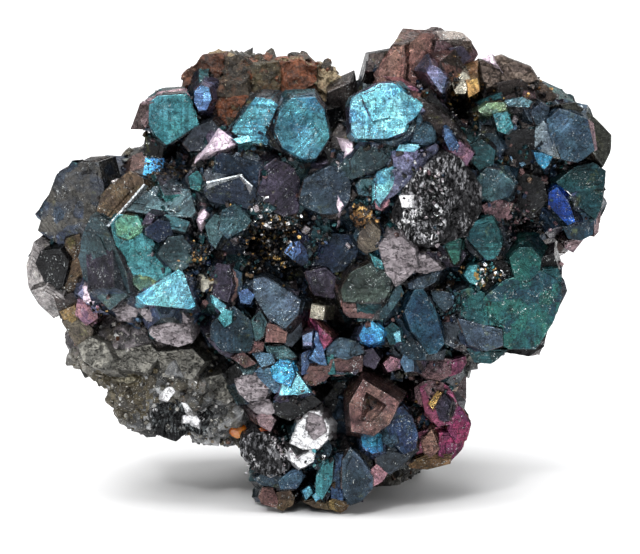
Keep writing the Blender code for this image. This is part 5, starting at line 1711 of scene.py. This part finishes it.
DRUSES = (
    (202, 262, 12, 40, 220, ("black", "black", "umber", "slate", "black", "deep_teal", "gold")),
    (272, 240, 28, 38, 520, ("black", "black", "umber", "olive", "black", "gold", "silver")),
    (361, 216, 12, 13, 110, ("gold", "olive", "umber", "black")),
    (465, 92, 15, 24, 200, ("gold", "olive", "umber", "black", "black")),
    (440, 425, 28, 40, 160, ("magenta", "gold", "plum", "black", "maroon")),
    (428, 464, 22, 6, 60, ("olive", "cream", "umber")),
    (322, 475, 10, 24, 120, ("teal", "turquoise", "black", "black", "silver")),
    (266, 455, 26, 22, 240, ("lead", "silver", "black", "black", "lead")),
    (437, 200, 36, 46, 320, ("silver", "black", "black", "black", "lead")),
    (322, 250, 22, 38, 200, ("black", "slate", "umber", "deep_teal")),
    (298, 410, 22, 14, 120, ("black", "umber", "lead")),
    (484, 275, 26, 12, 160, ("black", "gold", "silver", "teal", "black")),
    (450, 300, 16, 20, 90, ("slate", "black", "deep_teal", "steel")),
    (515, 80, 40, 22, 300, ("black", "olive", "umber", "umber", "black", "gold")),
    (90, 315, 16, 18, 90, ("bronze", "gold", "rose", "umber", "black")),
    (520, 225, 30, 26, 160, ("black", "umber", "plum", "slate")),
    (170, 170, 26, 10, 120, ("umber", "black", "navy", "olive")),
)
DRUSE_SIZE = (0.07, 0.24)
DRUSE_SPREAD = 0.5
DRUSE_SINK = 0.3


def make_druses(galena, material):
    """The patches of small crystals seen in the photograph, by its pixels."""
    chance = random.Random(SEED + 3)
    shapes = [small_shape(habit) for habit in SMALL_HABITS]
    pile = Pile()
    for px, py, half_wide, half_high, count, looks in DRUSES:
        for _ in range(count):
            seen_x = px + chance.gauss(0.0, DRUSE_SPREAD) * half_wide
            seen_y = py + chance.gauss(0.0, DRUSE_SPREAD) * half_high
            reach = chance.uniform(*DRUSE_SIZE)
            shape, turn, look = chance.choice(shapes), any_turn(chance, THIN), LOOKS[chance.choice(looks)]
            point, normal = galena.seen(seen_x, seen_y)
            if point is None or not inside_box(point, reach):
                continue
            point = point - normal * reach * DRUSE_SINK
            pile.add(shape, point, reach, turn, linear(look.face), linear(look.shade))
    piece = as_piece(pile.whole(), "druse_crystals", material)
    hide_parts("galena_crystals")


CHUNK_CUTS = 13
CHUNK_DEPTH = (0.72, 1.0)
CHUNK_KINDS = 12
CHUNK_TRIES = 2200
CHUNK_SIZE = (0.25, 1.30)
CHUNK_SINK = 0.55
CHUNK_BLOCK = 3.0
CHUNK_EVENNESS = 0.6
CHUNK_THIN = 0.75
CHUNK_SHADE = 0.4
LEAD_TONES = ((112, 106, 110), (84, 80, 84), (60, 57, 60), (138, 130, 134))
GREY_TONES = ((112, 110, 106), (88, 87, 84), (66, 65, 62), (136, 133, 126))
OLIVE_TONES = ((84, 74, 50), (66, 58, 42), (108, 98, 72), (52, 47, 38))
SILVER_TONES = ((140, 142, 144), (74, 76, 78), (46, 48, 50), (108, 110, 111), (184, 186, 188))
MIXED_TONES = GREY_TONES + OLIVE_TONES[:2] + SILVER_TONES[:3] + ((44, 43, 42),)
ROCK_ZONES = (
    (60, 240, 300, 352, LEAD_TONES),
    (96, 160, 366, 420, OLIVE_TONES),
    (60, 116, 340, 380, GREY_TONES),
    (140, 260, 376, 450, SILVER_TONES),
)
ZONE_BLUR = 26.0
ROCK_FRONT = -6.0


def rock_tones(point):
    """The tones of the rock at a point in millimetres, by what the photograph shows there."""
    across, up, out = seen_at(point)
    shift = noise.noise_vector(point * 0.35) * ZONE_BLUR + noise.noise_vector(point * 1.1) * ZONE_BLUR * 0.6
    px, py = across * PIXELS_PER_MM + PIXEL_MIDDLE + shift.x, PIXEL_FOOT - up * PIXELS_PER_MM + shift.z
    if out > ROCK_FRONT:
        for left, right, top, bottom, tones in ROCK_ZONES:
            if left < px < right and top < py < bottom:
                return tones
    return MIXED_TONES


def chunk_shape(chance):
    """A broken chunk of rock, 1 from its middle to its farthest faces."""
    solid = bmesh.new()
    kinds = solid.faces.layers.int.new("kind")
    bmesh.ops.create_cube(solid, size=CHUNK_BLOCK)
    for direction in spiral_directions(CHUNK_CUTS):
        normal = (any_turn(chance) @ UPWARD).lerp(direction, CHUNK_EVENNESS).normalized()
        cut_face(solid, normal, chance.uniform(*CHUNK_DEPTH), EDGE, kinds)
    bmesh.ops.recalc_face_normals(solid, faces=solid.faces)
    return as_mesh(solid, "chunk")


def broken(point):
    """The rock's rough relief, which runs out at its flat foot."""
    chips = noise.cell(point * 0.8 + noise.noise_vector(point * 0.9) * 0.6)
    depth = ROCK_SINK + ripple(point, *ROCK_WAVE) + ROCK_CHIPS * chips + ripple(point, *ROCK_GRAIN)
    return max(0.0, depth) * min(1.0, max(0.0, point.z / FOOT_BAND))


def make_rock(material):
    """The ore rock: a merged copy of its solid with its relief, each patch in its own tone."""
    rock = remeshed(merged_copy("matrix_rock"), ROCK_VOXEL)
    sink(rock, broken)
    films = film_layers(rock)
    for face in rock.faces:
        middle = face.calc_center_median()
        tones = rock_tones(middle)
        number = int(abs(noise.cell(middle * 1.1)) * 1000)
        tone = linear(tones[number % len(tones)])
        give_colours(face, films, tone, times(tone, ROCK_SHADE))
    piece = as_piece(rock, "matrix_rock_surface", material)
    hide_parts("matrix_rock")


def make_rock_plates(rock, materials):
    """Cleaved plates, streaky lumps and white chips on the rock's front: their out is over the rock there."""
    groups = {relief: new_target() for relief in materials}
    for facet in ROCK_FACETS:
        stand = facet_crystal(facet)
        px, py = PIXEL_MIDDLE + stand.across * PIXELS_PER_MM, PIXEL_FOOT - stand.up * PIXELS_PER_MM
        point = rock.seen(px, py)[0]
        if point is None:
            continue
        solid, crystal, look = facet_solid(facet._replace(out=facet.out + seen_at(point)[2]))
        relief = LOOKS[facet.look].relief
        add_solid(groups[relief], dressed(solid, crystal, look, FRONT_EDGE))
    for relief, target in groups.items():
        piece = as_piece(target, f"rock_{relief}", materials[relief])
        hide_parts("matrix_rock")


def make_rock_chunks(rock, material):
    """Broken chunks that stand out of the rock all over."""
    chance = random.Random(SEED + 7)
    shapes = [chunk_shape(chance) for _ in range(CHUNK_KINDS)]
    pile = Pile()
    for point, normal in rock.sample(CHUNK_TRIES, chance):
        reach = chance.uniform(*CHUNK_SIZE) * chance.uniform(*SIZE_SPREAD)
        shape, turn = chance.choice(shapes), any_turn(chance, CHUNK_THIN)
        tone = linear(chance.choice(rock_tones(point)))
        point = point - normal * (CHUNK_SINK * reach + 0.1)
        if point.z < reach or not inside_box(point, reach * 0.9):
            continue
        pile.add(shape, point, reach, turn, tone, times(tone, CHUNK_SHADE))
    piece = as_piece(pile.whole(), "rock_chunks", material)
    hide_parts("matrix_rock")


GRAIN_COUNT = 4200
GRAIN_SIZE = (0.06, 0.26)
GRAIN_SINK = 0.10
GRAIN_SINK_SHARE = 0.3
GRAIN_SHADE = 0.5
GRAIN_COLOURS = (
    (196, 194, 188), (140, 138, 130), (100, 98, 90), (226, 226, 224), (70, 68, 64), (92, 82, 56),
    (44, 43, 42), (128, 114, 96), (170, 170, 168), (96, 64, 46), (50, 50, 52),
)


def make_rock_grains(rock, material):
    """Grains of quartz, ore and sulphide all over the rock."""
    chance = random.Random(SEED + 4)
    shapes = [small_shape(habit) for habit in (BLOCK, TRI, BLOCK)]
    pile = Pile()
    for point, normal in rock.sample(GRAIN_COUNT, chance):
        reach = chance.uniform(*GRAIN_SIZE)
        shape, turn = chance.choice(shapes), any_turn(chance, THIN)
        colour = linear(chance.choice(GRAIN_COLOURS))
        point = point - normal * (GRAIN_SINK + GRAIN_SINK_SHARE * reach)
        if point.z < reach or not inside_box(point, reach):
            continue
        pile.add(shape, point, reach, turn, colour, times(colour, GRAIN_SHADE))
    piece = as_piece(pile.whole(), "rock_grains", material)
    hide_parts("matrix_rock")


RESIN_EDGE = 0.52
SCOOP_DEPTH = 0.62
RESIN_STEP = 0.14
RESIN_GRAIN = (0.14, 2.6)
RESIN_SINK = 0.30
RESIN_WAVE = (0.22, 1.6)


def fractured(point):
    """The shell-shaped, uneven breaks of resinous crystals."""
    scoop = abs(noise.noise(point * 0.75 + Vector((2.0, 5.0, 3.0))))
    step = noise.cell(point * 1.1 + noise.noise_vector(point * 0.8) * 0.8)
    return max(0.0, SCOOP_DEPTH * scoop + RESIN_STEP * step + ripple(point, *RESIN_GRAIN))


def make_sphalerite(material):
    """The resinous crystals at the top and the mass that joins them."""
    target = new_target()
    shown = [facet_solid(facet)[:2] for facet in SPHALERITE_FACETS]
    shown += [(crystal_solid(crystal)[0], crystal) for crystal in SPHALERITE]
    for solid, crystal in shown:
        trim_to_box(solid, solid.faces.layers.int["kind"])
        films = film_layers(solid)
        bevelled(solid, BEVEL_RANGE[1])
        first, second = RESIN[crystal.look]
        for face in solid.faces:
            give_colours(face, films, linear(first), linear(second))
        refine(solid, RESIN_EDGE, UPWARD, -FACET_BLOCK)
        sink(solid, fractured)
        add_solid(target, solid)
    piece = as_piece(target, "sphalerite_faces", material)
    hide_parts("sphalerite_crystals")


def make_sphalerite_ground(material):
    """The resinous mass between the sphalerite crystals, just under their faces."""
    mass = remeshed(merged_copy("sphalerite_crystals"), MASS_VOXEL)
    films = film_layers(mass)
    for face in mass.faces:
        give_colours(face, films, linear(RESIN["resin_red"][0]), linear(RESIN["resin_olive"][1]))
    sink(mass, lambda point: RESIN_SINK + ripple(point, *RESIN_WAVE))
    piece = as_piece(mass, "sphalerite_ground", material)
    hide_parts("sphalerite_crystals")


SMALL_RESIN_TRIES = 900
SMALL_RESIN_SIZE = (0.18, 0.85)
SMALL_RESIN_SPREAD = (0.35, 1.0)
SMALL_RESIN_THIN = 0.45
SMALL_RESIN_SINK = 0.55
SMALL_RESIN_LOOKS = ("resin_red", "resin_olive", "resin_dark", "resin_dark", "resin_orange")


def make_small_resin(surface, material):
    """Small resinous crystals all over the sphalerite."""
    chance = random.Random(SEED + 8)
    shapes = [small_shape(habit) for habit in (BLOCK, TRI, HEX, EIGHT)]
    pile = Pile()
    for point, normal in surface.sample(SMALL_RESIN_TRIES, chance):
        reach = chance.uniform(*SMALL_RESIN_SIZE) * chance.uniform(*SMALL_RESIN_SPREAD)
        shape, turn = chance.choice(shapes), any_turn(chance, SMALL_RESIN_THIN)
        first, second = RESIN[chance.choice(SMALL_RESIN_LOOKS)]
        if not inside_box(point, reach):
            continue
        point = point - normal * reach * SMALL_RESIN_SINK
        pile.add(shape, point, reach, turn, linear(first), linear(second))
    piece = as_piece(pile.whole(), "small_resin_crystals", material)
    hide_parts("sphalerite_crystals")


RIM_GRAINS = 60
RIM_PIXELS = (286, 364)
RIM_TOP_PIXEL = 60
RIM_SLOPE = 0.32
RIM_BAND_PIXELS = (2, 22)
RIM_SIZE = (0.08, 0.22)
RIM_SHADE = 0.6
RIM_COLOURS = ((150, 140, 112), (96, 88, 62), (110, 72, 42), (176, 168, 140), (60, 54, 42))


def make_rim_grains(surface, material):
    """Pale see-through grains along the sphalerite's top rim."""
    chance = random.Random(SEED + 5)
    shapes = [small_shape(habit) for habit in (BLOCK, TRI, BLOCK)]
    pile = Pile()
    for _ in range(RIM_GRAINS):
        px = chance.uniform(*RIM_PIXELS)
        py = RIM_TOP_PIXEL + (px - RIM_PIXELS[0]) * RIM_SLOPE + chance.uniform(*RIM_BAND_PIXELS)
        reach = chance.uniform(*RIM_SIZE)
        shape, turn = chance.choice(shapes), any_turn(chance, THIN)
        colour = linear(chance.choice(RIM_COLOURS))
        point = surface.seen(px, py)[0]
        if point is None or not inside_box(point, reach):
            continue
        pile.add(shape, point, reach, turn, colour, times(colour, RIM_SHADE))
    piece = as_piece(pile.whole(), "rim_grains", material)
    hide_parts("sphalerite_crystals")


AMBER_PIXEL = (238, 431)
RED_PIXEL = (263, 431)
SPOT_PIXEL = (84, 340)
AMBER_HALVES = (0.95, 0.80)
RED_HALVES = (0.50, 0.42)
AMBER_COLOUR = (238, 122, 24)
RED_COLOUR = (196, 62, 22)
DROP_DEPTH = 0.7
DROP_WAVE = (0.10, 1.4)


def make_drop(name, surface, pixel, halves, material, node):
    """A bead of clear resin lying on a face."""
    point = surface.seen(*pixel)[0]
    drop = bmesh.new()
    bmesh.ops.create_icosphere(drop, subdivisions=3, radius=1.0)
    half_wide, half_high = halves
    half_deep = min(halves) * DROP_DEPTH
    bmesh.ops.scale(drop, vec=(half_wide, half_deep, half_high), verts=drop.verts)
    for vert in drop.verts:
        vert.co *= 1.0 + ripple(vert.co, *DROP_WAVE)
    bmesh.ops.translate(drop, verts=drop.verts, vec=point)
    piece = as_piece(drop, name, material, smooth=True)
    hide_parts(node)


PALE_CUBES = ((318, 312, 0.70), (312, 317, 0.30), (206, 284, 0.56), (203, 279, 0.4))
PALE_COLOUR = (188, 184, 168)
PALE_SHADE = 0.7
PALE_YAW = (0.4, 0.7)
PALE_LEAN = (0.2, 0.4)


def make_pale_cubes(surface, material):
    """The small pale blocks among the galena crystals, by the photograph's pixels."""
    chance = random.Random(SEED + 6)
    pile = Pile()
    shape = small_shape(BLOCK)
    colour = linear(PALE_COLOUR)
    for px, py, reach in PALE_CUBES:
        point = surface.seen(px, py)[0]
        turn = Matrix.Rotation(chance.uniform(*PALE_YAW), 3, "Z")
        turn = turn @ Matrix.Rotation(chance.uniform(*PALE_LEAN), 3, "X")
        pile.add(shape, point, reach, turn, colour, times(colour, PALE_SHADE))
    piece = as_piece(pile.whole(), "pale_cubes", material)
    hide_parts("sphalerite_crystals")


# Floor, light and camera
FLOOR_SIZE = 6.0
CAMERA_DISTANCE = 0.8
FRAME_WIDTH = 0.064
SENSOR_WIDTH = 36.0
IMAGE_MIDDLE = (0.2, 23.6, 4.0)


def make_floor():
    """A plain pale floor."""
    floor = bmesh.new()
    bmesh.ops.create_grid(floor, x_segments=1, y_segments=1, size=FLOOR_SIZE / 2.0)
    mesh = as_mesh(floor, "floor")
    graph = Graph("pale_floor")
    tone = graph.ramp(graph.noise(200.0, 2.0), 0.3, 0.7)
    graph.to(graph.mix(tone, (240, 240, 241), (244, 244, 244)), "Base Color")
    graph.set(Roughness=0.6)
    mesh.materials.append(graph.material)
    plane = bpy.data.objects.new("floor", mesh)
    bpy.context.scene.collection.objects.link(plane)


LIGHTS = (
    ("top_box", (0.0, -0.10, 0.95), (0.9, 0.8), 12.0),
    ("top_front_box", (-0.14, -0.50, 0.52), (0.34, 0.26), 2.2),
    ("glint_lamp", (-0.22, -0.46, 0.40), (0.05, 0.05), 0.9),
    ("left_box", (-0.62, -0.30, 0.30), (0.30, 0.40), 1.3),
    ("right_box", (0.60, -0.34, 0.34), (0.26, 0.36), 1.0),
    ("back_box", (0.10, 0.60, 0.50), (0.60, 0.30), 2.0),
)
LIGHT_AIM = (0.0, 0.0, 0.024)
ROOM_COLOUR = (0.98, 0.99, 1.0, 1.0)
ROOM_STRENGTH = 0.26


def make_light(name, position, size, power):
    """A soft box aimed at the middle of the specimen."""
    light = bpy.data.lights.new(name, "AREA")
    light.shape = "RECTANGLE"
    light.size, light.size_y = size
    light.energy = power
    lamp = bpy.data.objects.new(name, light)
    lamp.location = position
    aim = Vector(LIGHT_AIM) - Vector(position)
    lamp.rotation_euler = aim.to_track_quat("-Z", "Y").to_euler()
    bpy.context.scene.collection.objects.link(lamp)


def make_studio():
    """Soft studio light: a pale room and soft boxes above, left and right."""
    world = bpy.data.worlds.new("studio")
    world.use_nodes = True
    background = world.node_tree.nodes["Background"]
    background.inputs["Color"].default_value = ROOM_COLOUR
    background.inputs["Strength"].default_value = ROOM_STRENGTH
    bpy.context.scene.world = world
    for name, position, size, power in LIGHTS:
        make_light(name, position, size, power)
    bpy.context.scene.view_settings.view_transform = "Standard"


def make_camera():
    """The camera at the photograph's angle, far off so that the view is nearly flat."""
    data = bpy.data.cameras.new("camera")
    data.sensor_width = SENSOR_WIDTH
    data.lens = SENSOR_WIDTH * CAMERA_DISTANCE / FRAME_WIDTH
    camera = bpy.data.objects.new("camera", data)
    camera.location = place(*IMAGE_MIDDLE) * MM - VIEW_RAY * CAMERA_DISTANCE
    camera.rotation_euler = (math.pi / 2.0 - VIEW_TILT, 0.0, 0.0)
    bpy.context.scene.collection.objects.link(camera)
    bpy.context.scene.camera = camera


def main():
    """Build every piece, the floor, the light and the camera, with the noise the same in each run."""
    noise.seed_set(SEED)
    galena = Surface("galena_crystals")
    rock = Surface("matrix_rock")
    sphalerite = Surface("sphalerite_crystals")
    tarnish = tarnish_material()
    resin = resin_material("sphalerite_resin")
    grains = grain_material()
    reliefs = {"etched": etched_material(), "cracked": cleaved_material(), "bright": bright_material()}
    make_galena({"front": tarnish, "sides": tarnish, **reliefs})
    make_galena_ground(druse_material())
    make_under_crystals(tarnish)
    make_crevice_crystals(galena, tarnish)
    make_druses(galena, tarnish)
    stone = rock_material()
    make_rock(stone)
    make_rock_chunks(rock, stone)
    make_rock_plates(rock, reliefs)
    make_rock_grains(rock, grains)
    make_sphalerite(resin)
    make_sphalerite_ground(resin)
    make_small_resin(sphalerite, resin)
    make_rim_grains(sphalerite, grains)
    amber, garnet = drop_material("amber_bead", AMBER_COLOUR), drop_material("red_bead", RED_COLOUR)
    front = Surface("galena_crystals", "matrix_rock", "sphalerite_crystals")
    make_drop("amber_drop", front, AMBER_PIXEL, AMBER_HALVES, amber, "sphalerite_crystals")
    make_drop("red_drop", front, RED_PIXEL, RED_HALVES, garnet, "sphalerite_crystals")
    make_drop("red_spot", front, SPOT_PIXEL, RED_HALVES, garnet, "matrix_rock")
    make_pale_cubes(front, reliefs["bright"])
    make_floor()
    make_studio()
    make_camera()


main()
